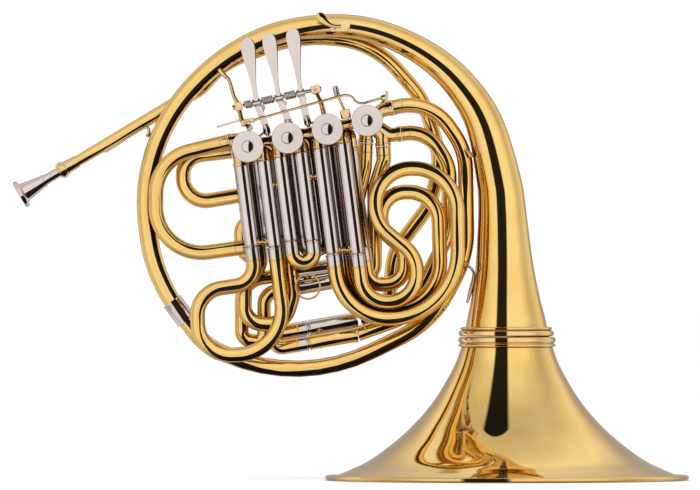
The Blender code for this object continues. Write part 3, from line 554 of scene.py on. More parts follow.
def build(name, shape):
    """The finished mesh, with the attributes that its materials read."""
    points, faces, looks = shape
    points = padded(points)
    mesh = bpy.data.meshes.new(name)
    mesh.from_pydata((points[:, :3] * MM).tolist(), [], faces)
    for attribute, columns in (("flow", points[:, 3:6]), ("stripe", points[:, 6:9])):
        mesh.attributes.new(attribute, "FLOAT_VECTOR", "POINT").data.foreach_set("vector", columns.ravel())
    keys = list(dict.fromkeys(looks))
    for key in keys:
        mesh.materials.append(MATERIALS[key])
    mesh.polygons.foreach_set("material_index", [keys.index(look) for look in looks])
    mesh.update()
    mesh.validate()
    mesh.shade_smooth()
    mesh.set_sharp_from_angle(angle=math.radians(SHARP))
    piece = bpy.data.objects.new(name, mesh)
    bpy.context.scene.collection.objects.link(piece)
    work = bmesh.new()
    work.from_mesh(mesh)
    bmesh.ops.recalc_face_normals(work, faces=work.faces)
    work.to_mesh(mesh)
    work.free()
    return piece


def make(node, suffix, shape):
    """The finished piece that stands for a CAD node: it rides on that node's body."""
    piece = build(node + suffix, shape)
    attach(piece, OWNERS[node])
    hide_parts(node)
    SLOTS[node]


# ---- materials ----

class Value:
    """One output of a node, to calculate with: a number, a vector or a colour."""

    def __init__(self, nodes, socket):
        self.nodes = nodes
        self.socket = socket

    def __add__(self, other):
        return self.nodes.math("ADD", self, other)

    def __sub__(self, other):
        return self.nodes.math("SUBTRACT", self, other)

    def __rsub__(self, other):
        return self.nodes.math("SUBTRACT", other, self)

    def __mul__(self, other):
        return self.nodes.math("MULTIPLY", self, other)

    def __gt__(self, other):
        return self.nodes.math("GREATER_THAN", self, other)

    def __lt__(self, other):
        return self.nodes.math("LESS_THAN", self, other)

    def __abs__(self):
        return self.nodes.math("ABSOLUTE", self)

    __radd__ = __add__
    __rmul__ = __mul__

    def limit(self, low, high):
        return self.nodes.math("MAXIMUM", self.nodes.math("MINIMUM", self, high), low)

    def eased(self, low, high, to_low=0.0, to_high=1.0):
        """to_low where this is below low, to_high above high, and a soft change between them."""
        inputs = {"Value": self, "From Min": low, "From Max": high, "To Min": to_low, "To Max": to_high}
        return self.nodes.out("ShaderNodeMapRange", inputs, "Result", interpolation_type="SMOOTHSTEP")

    def vector(self, operation, other=(0.0, 0.0, 0.0), output="Vector"):
        return self.nodes.out("ShaderNodeVectorMath", {0: self, 1: other}, output, operation=operation)

    def dot(self, other):
        return self.vector("DOT_PRODUCT", other, "Value")

    def cross(self, other):
        return self.vector("CROSS_PRODUCT", other)

    def length(self):
        return self.vector("LENGTH", output="Value")

    def unit(self):
        return self.vector("NORMALIZE")

    def flat_to(self, axis):
        """The part of this vector that is square to the axis."""
        along = self.nodes.out("ShaderNodeVectorMath", {0: axis, 3: self.dot(axis)}, operation="SCALE")
        return self.vector("SUBTRACT", along)

    def parts(self):
        """The x, y and z of this vector."""
        node = self.nodes.add("ShaderNodeSeparateXYZ", {0: self})
        return [Value(self.nodes, output) for output in node.outputs]


class Nodes:
    """Short calls for building a node tree."""

    def __init__(self, tree):
        self.tree = tree

    def plug(self, socket, value):
        if isinstance(value, Value):
            self.tree.links.new(value.socket, socket)
        else:
            socket.default_value = (*value, 1.0) if socket.type == "RGBA" else value

    def add(self, kind, inputs=(), **settings):
        node = self.tree.nodes.new(kind)
        for key, value in settings.items():
            setattr(node, key, value)
        for key, value in dict(inputs).items():
            self.plug(node.inputs[key], value)
        return node

    def out(self, kind, inputs=(), output=0, **settings):
        return Value(self, self.add(kind, inputs, **settings).outputs[output])

    def math(self, operation, a, b=0.0):
        return self.out("ShaderNodeMath", {0: a, 1: b}, operation=operation)

    def mix(self, factor, a, b):
        return self.out("ShaderNodeMix", {"Factor": factor, 6: a, 7: b}, 2, data_type="RGBA")

    def noise(self, place, scale, detail=3.0, rough=0.55):
        inputs = {"Vector": place, "Scale": scale, "Detail": detail, "Roughness": rough}
        return self.out("ShaderNodeTexNoise", inputs, "Fac")

    def seen(self, name):
        return self.out("ShaderNodeNewGeometry", output=name)

    def object_place(self):
        return self.out("ShaderNodeTexCoord", output="Object")

    def attribute(self, name):
        return self.out("ShaderNodeAttribute", output="Vector", attribute_name=name)


def across_tube(n):
    """Where the point lies across its tube as seen, -1 and 1 at the edges, and how much that counts.
    Also the direction across, and how square to the tube its surface is."""
    flow = n.attribute("flow")
    axis = flow.unit()
    eye = n.seen("Incoming").flat_to(axis)
    normal = n.seen("Normal").flat_to(axis)
    side = axis.cross(eye).unit()
    counts = eye.length().eased(0.25, 0.5) * flow.length().eased(0.4, 0.6)
    return side.dot(normal.unit()), counts, side, normal.length()


# Metres: at this place in the ring, a line that moves lies in the middle of its tube.
RING_X, RING_Z = 0.045, 0.185


def dark_line(n, spot, side, steep):
    """The studio's dark reflection, and the faint second line on each side of it. See STRIPE."""
    place, width, kind = n.attribute("stripe").parts()
    world = n.seen("Position")
    x, _, z = world.parts()
    side_x, _, side_z = side.parts()
    moves = kind > -1.0
    varies = kind > -5.0
    bell = kind < -8.5
    sideways = ((RING_X - x) * 1.9).limit(-0.2, 0.5)
    upwards = ((z - RING_Z) * 7.0).limit(-0.62, kind)
    waver = (n.noise(world, 14.0, 1.0) - 0.5) * 0.3
    centre = place + moves * (side_x * sideways + side_z * upwards + waver)
    swell = (n.noise(world, 21.0, 1.0) - 0.47) * 0.62
    half = width + varies * (side_z * side_z * 0.1 + swell)
    half = half - moves * (kind < 0.0) * z.eased(0.25, 0.32, 0.0, 0.2)
    # On the bell and its branch: wider high up, and on the inside of the bow at the left.
    high = bell * z.eased(0.12, 0.25)
    left = bell * x.eased(-0.08, 0.0, 1.0, 0.0)
    centre = centre + high * 0.1 - left * 0.42
    half = half + high * 0.06 + left * 0.08
    away = abs(spot - centre)
    # It ends where the surface turns away from the tube's direction, as at a bead or a cut end.
    square = (steep - away * away * 2.4).eased(0.655, 0.665)
    second = abs(away - half - 0.2).eased(0.02, 0.05, 0.4, 0.0)
    return (away - half).eased(-0.025, 0.02, 1.0, 0.0) * square, varies * second


def button_shadow(n):
    """The painted dark reflection on a small dome: a crescent on its right."""
    eye, normal = n.seen("Incoming"), n.seen("Normal")
    right = eye.cross((0.0, 0.0, -1.0)).unit()
    across = normal.dot(right)
    up = normal.dot(eye.cross(right).unit())
    bow = up * up
    inner, outer = bow * 0.5 + 0.02, bow * -0.9 + 0.44
    return (across - inner).eased(-0.015, 0.015) * (across - outer).eased(-0.02, 0.02, 1.0, 0.0)


def blank(name):
    material = bpy.data.materials.new(name)
    material.use_nodes = True
    return material, Nodes(material.node_tree), material.node_tree.nodes["Principled BSDF"].inputs


def metal(name, tones, rough, lacquer=0.0, button=False):
    """Polished metal: cloudy colour, fine wipe marks, painted shade in a deeper tone towards the edges of a
    tube and in the crevices, the studio's crisp dark reflection painted along each tube, and a lacquer coat."""
    base, deep, warm = tones
    material, n, shader = blank(name)
    place = n.object_place()
    cloud = n.noise(place, 34.0)
    fine = n.noise(place, 420.0, 2.0)
    stretched = n.out("ShaderNodeMapping", {"Vector": place, "Scale": (900.0, 900.0, 60.0)})
    wipe = n.noise(stretched, 1.0, 2.0)
    openness = n.out("ShaderNodeAmbientOcclusion", {"Distance": 0.009}, "AO", samples=6)
    tone = n.mix(cloud.eased(0.35, 0.68), base, warm)
    # Painted shade: the colour turns to the deeper tone in crevices, where the ambient occlusion is low.
    tone = n.mix(openness.eased(0.2, 0.85, 0.75, 0.0), tone, deep)
    if button:
        dark = button_shadow(n)
    else:
        spot, counts, side, steep = across_tube(n)
        # Painted shade: the colour turns to the deeper tone towards the edges of the tube as seen.
        tone = n.mix(abs(spot).eased(0.78, 0.99, 0.0, 0.66) * counts, tone, deep)
        # The studio's dark reflection is painted into the colour: its faint side lines in the deeper tone,
        # the line itself near black.
        dark, second = dark_line(n, spot, side, steep)
        dark = dark * counts
        tone = n.mix(second * counts, tone, deep)
    # Here the painted dark reflection, a line or the button's crescent, goes into the base colour.
    n.plug(shader["Base Color"], n.mix(dark * 0.985, tone, (0.004, 0.003, 0.002)))
    n.plug(shader["Metallic"], 1.0)
    n.plug(shader["Roughness"], (cloud - 0.5) * 0.05 + (wipe - 0.5) * 0.04 + rough)
    bump = n.out("ShaderNodeBump", {"Strength": 0.045, "Distance": 0.0006, "Height": fine * 0.3 + cloud})
    n.plug(shader["Normal"], bump)
    if lacquer:
        n.plug(shader["Coat Weight"], (1.0 - dark) * lacquer)
        n.plug(shader["Coat Roughness"], 0.03)
        n.plug(shader["Coat Tint"], (1.0, 0.93, 0.74))
    return material


def dull(name, base, speck, rough):
    """Rubber, or the painted shade of a slot: matt, with a fine grain."""
    material, n, shader = blank(name)
    grain = n.noise(n.object_place(), 1500.0, 4.0, 0.7)
    n.plug(shader["Base Color"], n.mix(grain, base, speck))
    n.plug(shader["Roughness"], grain.eased(0.2, 0.8, rough - 0.1, rough + 0.1))
    n.plug(shader["Normal"], n.out("ShaderNodeBump", {"Strength": 0.25, "Distance": 0.0004, "Height": grain}))
    return material


# For each metal: its colour, the deeper tone of the painted shade at edges and in crevices and of the faint
# painted lines, and the tone of its clouds.
GOLD = ((0.93, 0.66, 0.25), (0.50, 0.20, 0.03), (0.90, 0.61, 0.20))
PALE = ((0.90, 0.66, 0.33), (0.42, 0.22, 0.06), (0.87, 0.60, 0.27))
SILVER = ((0.76, 0.68, 0.67), (0.30, 0.24, 0.22), (0.72, 0.64, 0.62))
SHADED = ((0.10, 0.075, 0.06), (0.05, 0.04, 0.03), (0.13, 0.10, 0.08))
STEEL = ((0.60, 0.57, 0.57), (0.16, 0.14, 0.13), (0.54, 0.51, 0.50))
MATERIALS = {
    "gold": metal("lacquered_brass", GOLD, 0.055, 0.35),
    "pale": metal("pale_lacquered_brass", PALE, 0.08, 0.3),
    "silver": metal("nickel_silver", SILVER, 0.07),
    # The button is silver with a painted dark reflection, a crescent, in place of the tube's line.
    "button": metal("polished_button_painted_reflection", SILVER, 0.06, button=True),
    "edge": metal("shaded_silver_edge", SHADED, 0.1),
    "steel": metal("polished_steel", STEEL, 0.16),
    "rubber": dull("black_bumper_rubber", (0.016, 0.015, 0.015), (0.04, 0.038, 0.036), 0.62),
    "dark": dull("slot_shadow", (0.02, 0.017, 0.014), (0.05, 0.04, 0.03), 0.7),
}


# ---- bell, body ring and mouthpiece pipe ----

BELL = joint_place("bell_unscrew") * arr(1, 1, 0)
RIM_BEAD = 2.05     # radius of the wire that the bell's rim is rolled round


def bell_flare():
    offset = node_points("bell_flare") - BELL
    here = offset[(np.abs(offset[:, 1]) < 0.05) & (offset[:, 0] > 0)]
    pairs = sorted({(round(float(x), 2), round(float(z), 2)) for x, _, z in here}, reverse=True)
    low, high = box("bell_flare")
    rim = min(pairs[0][0], (high[1] - low[1]) / 2)
    sheet = [pair for pair in pairs if pair[0] < rim - 8.0]
    outer, inner = sheet[0::2], sheet[1::2]
    edge = []
    for step in range(15):
        angle = math.radians(100 - 250 * step / 14)
        edge.append((rim - RIM_BEAD + RIM_BEAD * math.cos(angle), RIM_BEAD + RIM_BEAD * math.sin(angle)))
    front = curve_profile([*outer[::-1], (rim - 4.4, 3.15)], 6)
    back = curve_profile([(rim - 4.8, 2.2), *inner], 6)
    make("bell_flare", "_shell", lathe([*front, *edge, *back], BELL, Z, "gold", sides=160, loop=True))


def screw_rings():
    """The two halves of the bell's screw ring. ridges: (start, end, size), as shares of height and radius."""
    for node, walls, ridges in (
        ("bell_ring_lower", (3.6, 1.6), ((0.38, 1.0, 1.0), (0.0, 0.32, 1.0))),
        ("bell_ring_upper", (4.6, 2.6), ((0.0, 0.62, 0.99), (0.68, 1.0, 0.955))),
    ):
        low, high = box(node)
        radius = (high[0] - low[0]) / 2
        tall = high[2] - low[2]
        outer = []
        for start, end, size in ridges:
            for t in (step / 8 for step in range(9)):
                swell = math.sqrt(max(0.0, 1 - (2 * t - 1) ** 2))
                outer.append((radius * size - 1.5 * (1 - swell), low[2] + tall * (start + (end - start) * t)))
        outer.sort(key=lambda point: point[1])
        inner = [(radius - walls[0], high[2]), (radius - walls[1], low[2])]
        centre = arr((low[0] + high[0]) / 2, 0, 0)
        make(node, "_knurl", lathe([*outer, *inner], centre, Z, "pale", sides=120, loop=True))


def bell_branch():
    line, sizes = smooth_line(rings_from(-Z, "bell_branch"), arcs=False, pieces=7)
    make("bell_branch", "_tube", sweep(line, sizes, "gold", sides=72))


def first_branch():
    found = rings("first_branch")
    line, _ = smooth_line(found)
    sizes = along_line(line, (0, 1), (found[0][1], found[-1][1]))
    bands = [(0.0, 0.0, "gold"), *bead(-9.0, 1.4, 0.45, "pale", "pale"), *bead(-1.6, 1.5, 0.5, "pale")]
    make("first_branch", "_tube", pipe(line, sizes, bands, 44))


def body_ferrule():
    found = rings("body_ferrule")
    low_end, r = found[0]
    way = found[-1][0] - low_end
    long = np.linalg.norm(way)
    half = [(r - 2.4, 0.0), (r - 0.5, 0.0), (r - 0.05, 0.25), (r, 0.7), (r, 1.5), (r - 0.22, 1.9)]
    profile = half + [(radius, long - along) for radius, along in half[::-1]]
    make("body_ferrule", "_sleeve", lathe(profile, low_end, way, "silver", 64, True))


def leadpipe():
    line, sizes = smooth_line(rings_from(-X, "leadpipe"))
    bands = [(0.0, 0.0, "gold"), *bead(-8.0, 1.4, 0.45, "pale", "pale")]
    make("leadpipe", "_tube", pipe(line, sizes, bands, 40))


def mouthpiece_end():
    way = -joint_axis("mouthpiece_pull")
    start = rings_from(-X, "leadpipe")[0][0]
    along, _ = about_axis(node_points("mouthpiece_receiver"), start, way)
    back, front = along.min(), along.max()
    s = (front - back) / 18.8
    body = [(4.95, back), (5.5, back), (5.8, back + 0.3), (5.7, back + 0.9)]
    body += curve_profile([(6.1, back + 1.1), (7.1, back + 2.6 * s), (7.15, back + 4.4 * s),
                           (6.3, back + 6.4 * s), (5.6, back + 7.2 * s)], 5)
    body += [(5.9, back + 7.6 * s), (5.9, back + 8.6 * s), (5.6, back + 9.0 * s), (5.35, front - 0.8),
             (5.15, front), (4.9, front)]
    make("mouthpiece_receiver", "_turned", lathe(body, start, way, "pale", 48, True))
    along, _ = about_axis(node_points("mouthpiece"), start, way)
    rim, tip = along.min(), along.max()

    def profile(*points):
        return [(radius, rim + deep) for radius, deep in points]

    outside = curve_profile(profile((9.4, 0.0), (10.6, 0.05), (11.6, 0.55), (12.1, 1.6), (12.0, 2.9),
                                    (11.0, 4.0)), 4)
    outside += curve_profile(profile((9.7, 4.4), (8.5, 5.0), (7.9, 7.0), (7.2, 11.0), (6.3, 16.5),
                                     (5.6, 20.5), (5.15, 23.4)), 4)
    outside += profile((5.15, 23.6), (5.4, 23.9), (5.4, 24.7), (5.05, 25.1), (4.55, 26.0), (4.3, 29.0),
                       (4.1, 39.0))
    outside += [(3.85, tip - 0.4), (3.6, tip), (2.6, tip)]
    inside = curve_profile(profile((2.1, 26.0), (2.6, 20.0), (4.4, 13.0), (6.6, 7.0), (8.2, 2.6), (8.7, 0.6),
                                   (9.4, 0.0)), 4)[:-1]
    make("mouthpiece", "_turned", lathe([*outside, *inside], start, way, "silver", 64, True))


# ---- valves ----

VALVES = {number: at_depth(joint_place(f"rotor_{number}_turn"), 0) for number in (1, 2, 3, 4)}
ALONG = unit(VALVES[4] - VALVES[1])
UP = unit(np.cross(ALONG, Y))
DOWN = -UP
CASING = 12.4       # radius of a valve casing
BORE = 11.25        # and of its inside
TUBING = 5.95       # radius of the tubes that come out of it
COLLAR = 6.85       # radius of the widest collars


def slide_rings(node):
    """A slide's rings, ordered so that its first leg is the left or lower one."""
    found = rings(node)
    return found[::-1] if found[0][0][0] > found[-1][0][0] + 3 else found


# The legs of the six valve slides: valve, side, and the start and direction of the axis.
LEGS = []
for number in (1, 2, 3):
    for face in ("front", "back"):
        for place, way, _ in legs_of(slide_rings(f"slide_{number}_{face}")):
            LEGS.append((number, face, place, way))


def sleeve_span(face, origin, way):
    """The node that holds this leg's sleeve, and where the sleeve starts and ends along the leg."""
    for node in (f"{face}_sleeves_left", f"{face}_sleeves_right"):
        along, away = about_axis(node_points(node), origin, way)
        mine = along[(away < 6.6) & (away > 5.0)]
        if len(mine) > 12:
            return node, mine.min(), mine.max()
    raise ValueError(f"no {face} sleeve for the leg at {origin}")


def collar(place, way, radius=COLLAR, wide=2.6):
    """A short rounded ferrule where one tube enters another."""
    profile = [(radius - 0.9, 0.0), (radius - 0.25, 0.0), (radius, 0.3), (radius, wide * 0.32),
               (radius - 0.22, wide * 0.45), (radius - 0.22, wide * 0.6), (radius, wide * 0.72),
               (radius, wide - 0.3), (radius - 0.25, wide), (radius - 0.9, wide)]
    return lathe(profile, place, way, "pale", 40, True)


def casing(number):
    centre = VALVES[number]
    low, high = box(f"valve_casing_{number}")
    front, back = -low[1], -high[1]
    r = CASING
    profile = [(BORE, front), (r - 0.4, front), (r, front - 0.3), (r, front - 2.6), (r - 0.35, front - 3.0),
               (r - 0.35, front - 3.6), (r - 0.1, front - 3.9), (r - 0.1, back + 5.6), (r + 0.45, back + 5.0),
               (r + 0.6, back + 4.5), (r + 0.6, back + 1.0), (r + 0.3, back + 0.35), (r - 0.5, back),
               (r - 2.2, back), (r - 2.6, back + 0.3), (6.6, back + 0.3), (6.2, back), (2.9, back),
               (2.9, back + 2.5), (BORE, back + 2.5)]
    parts = [lathe(profile, centre, -Y, "pale", 64, True)]
    for owner, face, origin, way in LEGS:
        if owner != number:
            continue
        start = origin + way * (sleeve_span(face, origin, way)[2] + 0.2)
        bend = start + way * (((start - centre) @ DOWN - 5.0) / max(0.2, -(way @ DOWN)))
        inside = at_depth(centre, start[1])
        if abs((bend - inside) @ ALONG) > 9.0:
            line = corner_line([start, bend, inside], 9.0)
        else:
            line = np.array([start, (start + bend) / 2, bend, bend + way * 2.0])
        parts += [sweep(line, TUBING, "pale", 32), collar(start - way * 0.1, way, 6.75)]
    if number < 4:
        for y in (-14.0, 0.0):
            a = centre + Y * y + ALONG * 11.5
            b = VALVES[number + 1] + Y * y - ALONG * 12.9
            parts.append(sweep(np.linspace(a, b, 7), [6.1, 5.7, 5.4, 5.3, 5.4, 5.7, 6.0], "pale", 28))
    return parts


def port_to(centre, found):
    """A brass port from the valve to the end of a fixed tube."""
    end, after = found[0][0], found[1][0]
    way = unit(end - after)
    start = end + way * 0.3
    inner = at_depth(centre, end[1])
    line = corner_line([start, start + way * min(9.0, 0.5 * np.linalg.norm(inner - start)), inner], 7.0)
    return join(sweep(line, 6.0, "pale", 32), collar(start, way, wide=3.0))


def bumpers(number):
    """The two rubber bumpers that stop the arm, on their plate behind the casing."""
    centre = VALVES[number]
    first = 135.0 if number == 3 else 45.0
    ends = (first, first - 90.0 * joint_axis(f"rotor_{number}_turn")[1])
    back = box(f"valve_casing_{number}")[1][1]
    rubber = [(1.75, -0.5), (1.75, 2.6), (1.55, 2.95), (1.1, 3.1), (0.0, 3.1)]
    cup = [(2.3, -0.5), (2.3, 0.7), (2.1, 0.95), (1.6, 0.95)]
    shapes = []
    for end in ends:
        outwards = 42.0 if end > sum(ends) / 2 else -42.0
        at = centre + heading(end + outwards) * 8.6 + Y * back
        shapes += [lathe(rubber, at, Y, "rubber", 20), lathe(cup, at, Y, "pale", 24)]
    return shapes


def rotor(number):
    """The rotor in its casing, with the stop arm on its back end."""
    node = f"rotor_{number}"
    centre = VALVES[number]
    low, high = box(node)
    front, back = -low[1], -high[1]
    core = [(0.0, front), (2.4, front), (2.8, front - 0.5), (10.2, front - 0.6), (10.7, front - 1.2),
            (10.7, -4.2), (10.2, -4.9), (2.35, -4.9), (2.35, back + 0.5), (1.9, back), (0.0, back)]
    offset = node_points(node) - centre
    beyond = np.hypot(offset[:, 0], offset[:, 2]) > 3.6
    arm = offset[(offset[:, 1] > 10.0) & beyond] * arr(1, 0, 1)
    reach = np.linalg.norm(arm, axis=1)
    toward = unit(arm[np.argsort(-reach)[:4]].mean(0))
    across = np.cross(Y, toward)
    tip = reach.max() - 2.4
    outline = []
    for start, shift, length, width in ((-90, tip, 2.2, 2.3), (90, 0.0, 3.3, 3.3)):
        for step in range(13):
            angle = math.radians(start + 180 * step / 12)
            outline.append(toward * (shift + length * math.cos(angle)) + across * width * math.sin(angle))
    base = centre + Y * (offset[beyond][:, 1].max() - 2.6)
    top = base + Y * 2.5
    make(node, "_arm", join(
        lathe(core, centre, -Y, "steel", 48),
        slab([base + point for point in outline], Y, 2.6, "steel", 0.45),
        screw(top, Y, 2.1, 1.0, 0.9 + number),
        lathe([(1.3, 0.0), (1.3, 0.5), (1.0, 0.8), (0.0, 0.8)], top + toward * tip, Y, "steel", 18),
    ))


def valve_cap(number):
    node = f"valve_cap_{number}"
    low, high = box(node)
    base, face = -high[1], -low[1]
    r = (high[0] - low[0]) / 2
    edge = [(0.0, base), (r - 1.6, base), (r - 0.5, base), (r - 0.1, base + 0.35), (r, base + 0.9),
            (r, face - 1.5), (r - 0.08, face - 0.9), (r - 0.3, face - 0.45), (r - 0.65, face - 0.18),
            (r - 1.1, face - 0.12), (r - 1.2, face - 0.12)]
    # The flat face, then a groove round a polished button.
    top = [(8.0, face - 0.1), (5.7, face - 0.1), (5.4, face - 0.14), (5.25, face - 0.3), (5.1, face - 0.5),
           (4.95, face - 0.62)]
    for t in np.linspace(1.2, 0.1, 14):
        top.append((5.2 * math.sin(t), face - 1.55 + 1.53 * math.cos(t), "button"))
    top.append((0.0, face - 0.02))
    make(node, "_domed", lathe([*edge, *top], VALVES[number], -Y, "silver", 96))


def valves():
    """The four valves. The first takes the left loops, the fourth the tubes that lead on from it."""
    centre = VALVES[4]
    ports = {1: [rings_from(Z, name) for name in ("left_loop_outer", "left_loop_inner")], 4: []}
    for name in ("lower_branch", "inner_transfer_tube", "outer_transfer_tube", "first_branch"):
        found = rings(name)
        near_first = np.linalg.norm(found[0][0] - centre) < np.linalg.norm(found[-1][0] - centre)
        ports[4].append(found if near_first else found[::-1])
    for number, centre in VALVES.items():
        parts = casing(number) + bumpers(number)
        parts += [port_to(centre, found) for found in ports.get(number, ())]
        make(f"valve_casing_{number}", "_body", join(*parts))
        rotor(number)
        valve_cap(number)


# ---- slides and fixed tubes ----

def sleeve_tube(origin, way, low, high, look="silver"):
    """A fixed outer sleeve: a plain tube with a bead at its mouth."""
    line = np.linspace(origin + way * low, origin + way * high, 9)
    bands = [*bead(0.0, 1.5, 0.5, look, look), (2.2, 0.0, look), (-0.3, 0.0, look), (-0.01, -0.3, look)]
    return pipe(line, SLEEVE, bands, 40)


def stay(one, two):
    """A small turned stay between the axes of two sleeves: flared feet, and a ball where it has room."""
    way = unit(two - one)
    start = one + way * STAY_FOOT
    long = np.linalg.norm(two - one) - 2 * STAY_FOOT
    r = 1.7
    half = [(0.0, -0.6), (r * 2.1, -0.6), (r * 1.9, 0.1), (r * 1.15, 0.7)]
    ball = []
    if long > 6:
        half.append((r * 0.9, 1.3))
        ball = [(r * 0.9, -1.4), (r * 1.25, -0.9), (r * 1.5, 0.0), (r * 1.25, 0.9), (r * 0.9, 1.4)]
    elif long > 3.4:
        ball = [(r, -0.9), (r * 1.55, 0.0), (r, 0.9)]
    else:
        ball = [(r * 0.9, 0.0)]
    profile = half + [(radius, long / 2 + along) for radius, along in ball]
    profile += [(radius, long - along) for radius, along in half[::-1]]
    return lathe(profile, start, way, "pale", 24)


def at_height(leg, z):
    """Where a leg's axis is at this height, or at each of these heights."""
    origin, way = leg
    return origin + np.multiply.outer((z - origin[2]) / way[2], way)


def stay_between(points, one, two):
    """The stay between two legs, at the height where the node's points show one; None if they show none."""
    deep = np.abs(points[:, 1] - one[0][1])
    away = np.minimum(*(about_axis(points, *leg)[1] for leg in (one, two)))
    between = ((points[:, 0] > at_height(one, points[:, 2])[:, 0])
               & (points[:, 0] < at_height(two, points[:, 2])[:, 0]))
    mine = points[between & (deep < 1.7) & (deep > 0.5) & (away < 6.32)][:, 2]
    for height in sorted({round(z / 4) * 4 for z in mine}):
        group = mine[np.abs(mine - height) < 3.0]
        if len(group) >= 6:
            z = (group.max() + group.min()) / 2
            return stay(at_height(one, z), at_height(two, z))
    return None


def sleeves():
    shapes = collections.defaultdict(list)
    legs = collections.defaultdict(list)
    for _, face, origin, way in LEGS:
        node, low, high = sleeve_span(face, origin, way)
        shapes[node].append(sleeve_tube(origin, way, low, high))
        legs[node].append((origin, way))
    for node, found in legs.items():
        found.sort(key=lambda leg: leg[0][0])
        for one, two in zip(found, found[1:]):
            between = stay_between(node_points(node), one, two)
            if between:
                shapes[node].append(between)
        make(node, "_set", join(*shapes[node]))


def slide_shape(found, silver=10.0, slim=0.0):
    """A crook with a silver ferrule at each end, and the two legs that run into the sleeves."""
    crook = [(centre, radius - slim) for centre, radius in found[2:-2]]
    line, sizes = smooth_line(crook)
    if slim:
        # Pulled out, this crook passes close to the ring, so its outer corner is drawn in a little.
        line[:, 2] = np.maximum(line[:, 2], min(c[2] for c, _ in crook))
        corner = min((c for c, _ in crook), key=lambda c: c[0] + c[2])
        near = np.exp(-((line - corner) ** 2).sum(1) / 60.0)
        line += near[:, None] * unit(X + Z) * 1.5
    bands = [*bead(0.0, 1.3, 0.4, "silver", "silver"), *bead(silver, 1.5, 0.35, "gold", "gold"),
             *bead(-silver - 1.5, 1.5, 0.35, "gold", "silver"), *bead(-1.3, 1.3, 0.4, "silver")]
    parts = [pipe(line, sizes, bands, 40)]
    rounded_end = [(0.0, 0.0, "silver"), (-0.6, 0.0, "silver"), (-0.01, -0.5, "silver")]
    for place, way, (end, radius) in legs_of(found):
        parts.append(pipe(np.linspace(place - way * 1.5, end, 7), radius, rounded_end, 32))
    return join(*parts)


def slides():
    for number in (1, 2, 3):
        for face in ("front", "back"):
            node = f"slide_{number}_{face}"
            make(node, "_crook", slide_shape(slide_rings(node)))


def pull_ring():
    low, high = box("pull_ring")
    thick = (high[1] - low[1]) / 2
    radius = (high[0] - low[0]) / 2 - thick
    line = [(low + high) / 2 + radius * heading(angle) for angle in range(0, 360, 5)]
    make("pull_ring", "_wire", sweep(line, thick, "pale", 20, closed=True))


def tuning(node, sleeves_node, slim=0.0):
    """A tuning slide with its two sleeves, their collars and the stay between them."""
    found = rings(node)
    make(node, "_crook", slide_shape(found, 8.0, slim))
    legs = legs_of(found)
    lowest = min(place[2] for place, _, _ in legs)
    parts, mouths = [], []
    for place, way, _ in legs:
        along, away = about_axis(node_points(sleeves_node), place, way)
        low, high = along[away < 6.6].min(), along[away < 6.6].max()
        look = "gold" if node == "main_tuning_slide" and place[2] == lowest else "silver"
        parts += [sleeve_tube(place, way, low, high, look),
                  collar(place + way * (high - 1.4), way, wide=2.8)]
        mouths.append(low)
    one, two = (place + way * (mouths[0] + 9.0) for place, way, _ in legs)
    make(sleeves_node, "_set", join(*parts, stay(one, two)))


def fixed_tubes():
    for node in ("left_loop_outer", "left_loop_inner", "bow_behind_valve_1", "lower_branch",
                 "inner_transfer_tube", "outer_transfer_tube"):
        line, sizes = smooth_line(rings(node))
        STRIPE[:] = PLAIN
        if node.startswith("left_loop"):
            # Here the reflection runs along the inside of the bend.
            STRIPE[:] = (0.42 if line[0][2] < line[-1][2] else -0.42, 0.1, -3.0)
        bands = [*bead(0.1, 1.4, 0.45, "pale", "pale"), *bead(7.0, 1.2, 0.4, "pale", "gold"),
                 *bead(-8.2, 1.2, 0.4, "pale", "pale"), *bead(-1.5, 1.4, 0.45, "pale")]
        make(node, "_tube", pipe(line, sizes, bands, 40))


# ---- levers and linkage ----

# A finger plate, from its hub to its tip: share of the length, half width as a share of the widest, how far
# it stands out towards the player, and thickness.
PLATE = arr((0.0, 0.31, 1.0, 1.6), (0.08, 0.3, 1.8, 1.5), (0.2, 0.3, 2.9, 1.35), (0.34, 0.4, 3.6, 1.2),
            (0.48, 0.58, 3.9, 1.15), (0.62, 0.77, 3.8, 1.1), (0.74, 0.91, 3.3, 1.1), (0.84, 1.0, 2.6, 1.1),
            (0.92, 0.9, 2.3, 1.1), (0.965, 0.68, 2.2, 1.0), (0.99, 0.4, 2.2, 0.8), (1.0, 0.12, 2.2, 0.5))
# How far to the right the foot of each lever's bar hangs.
BAR_SLANT = {1: 3.4, 2: 4.0, 3: 0.4}


def touch(hub, tip, width):
    """A spoon-shaped finger plate from the hub up to its tip, with a shaded edge on its left."""
    up = unit(tip - hub)
    across = unit(np.cross(up, Y))
    out = unit(np.cross(up, across))
    spots = 1 - (1 - np.linspace(0, 1, 40)) ** 1.5
    sides = 20
    angles = np.arange(sides) * 2 * math.pi / sides
    c, d = (np.sign(wave) * np.abs(wave) ** 0.75 for wave in (np.cos(angles), np.sin(angles)))
    points, faces, looks = [], [], []
    for t in spots:
        half, lift, thick = (np.interp(t, PLATE[:, 0], PLATE[:, k]) for k in (1, 2, 3))
        cupped = d * thick * 0.8 + 0.5 * (c * half) ** 2 * min(1.0, 2 * t)
        centre = hub + (tip - hub) * t + out * lift
        points.append(centre + np.outer(c * half * width, across) + np.outer(cupped, out))
    last = len(spots) - 1
    for k in range(last):
        faces += wall(k * sides, (k + 1) * sides, sides)
        looks += ["edge" if s in (8, 9) and k < last - 3 else "silver" for s in range(sides)]
    faces.append(list(range(sides)))
    faces.append(list(range(last * sides, (last + 1) * sides))[::-1])
    return np.concatenate(points), faces, [*looks, "silver", "silver"]


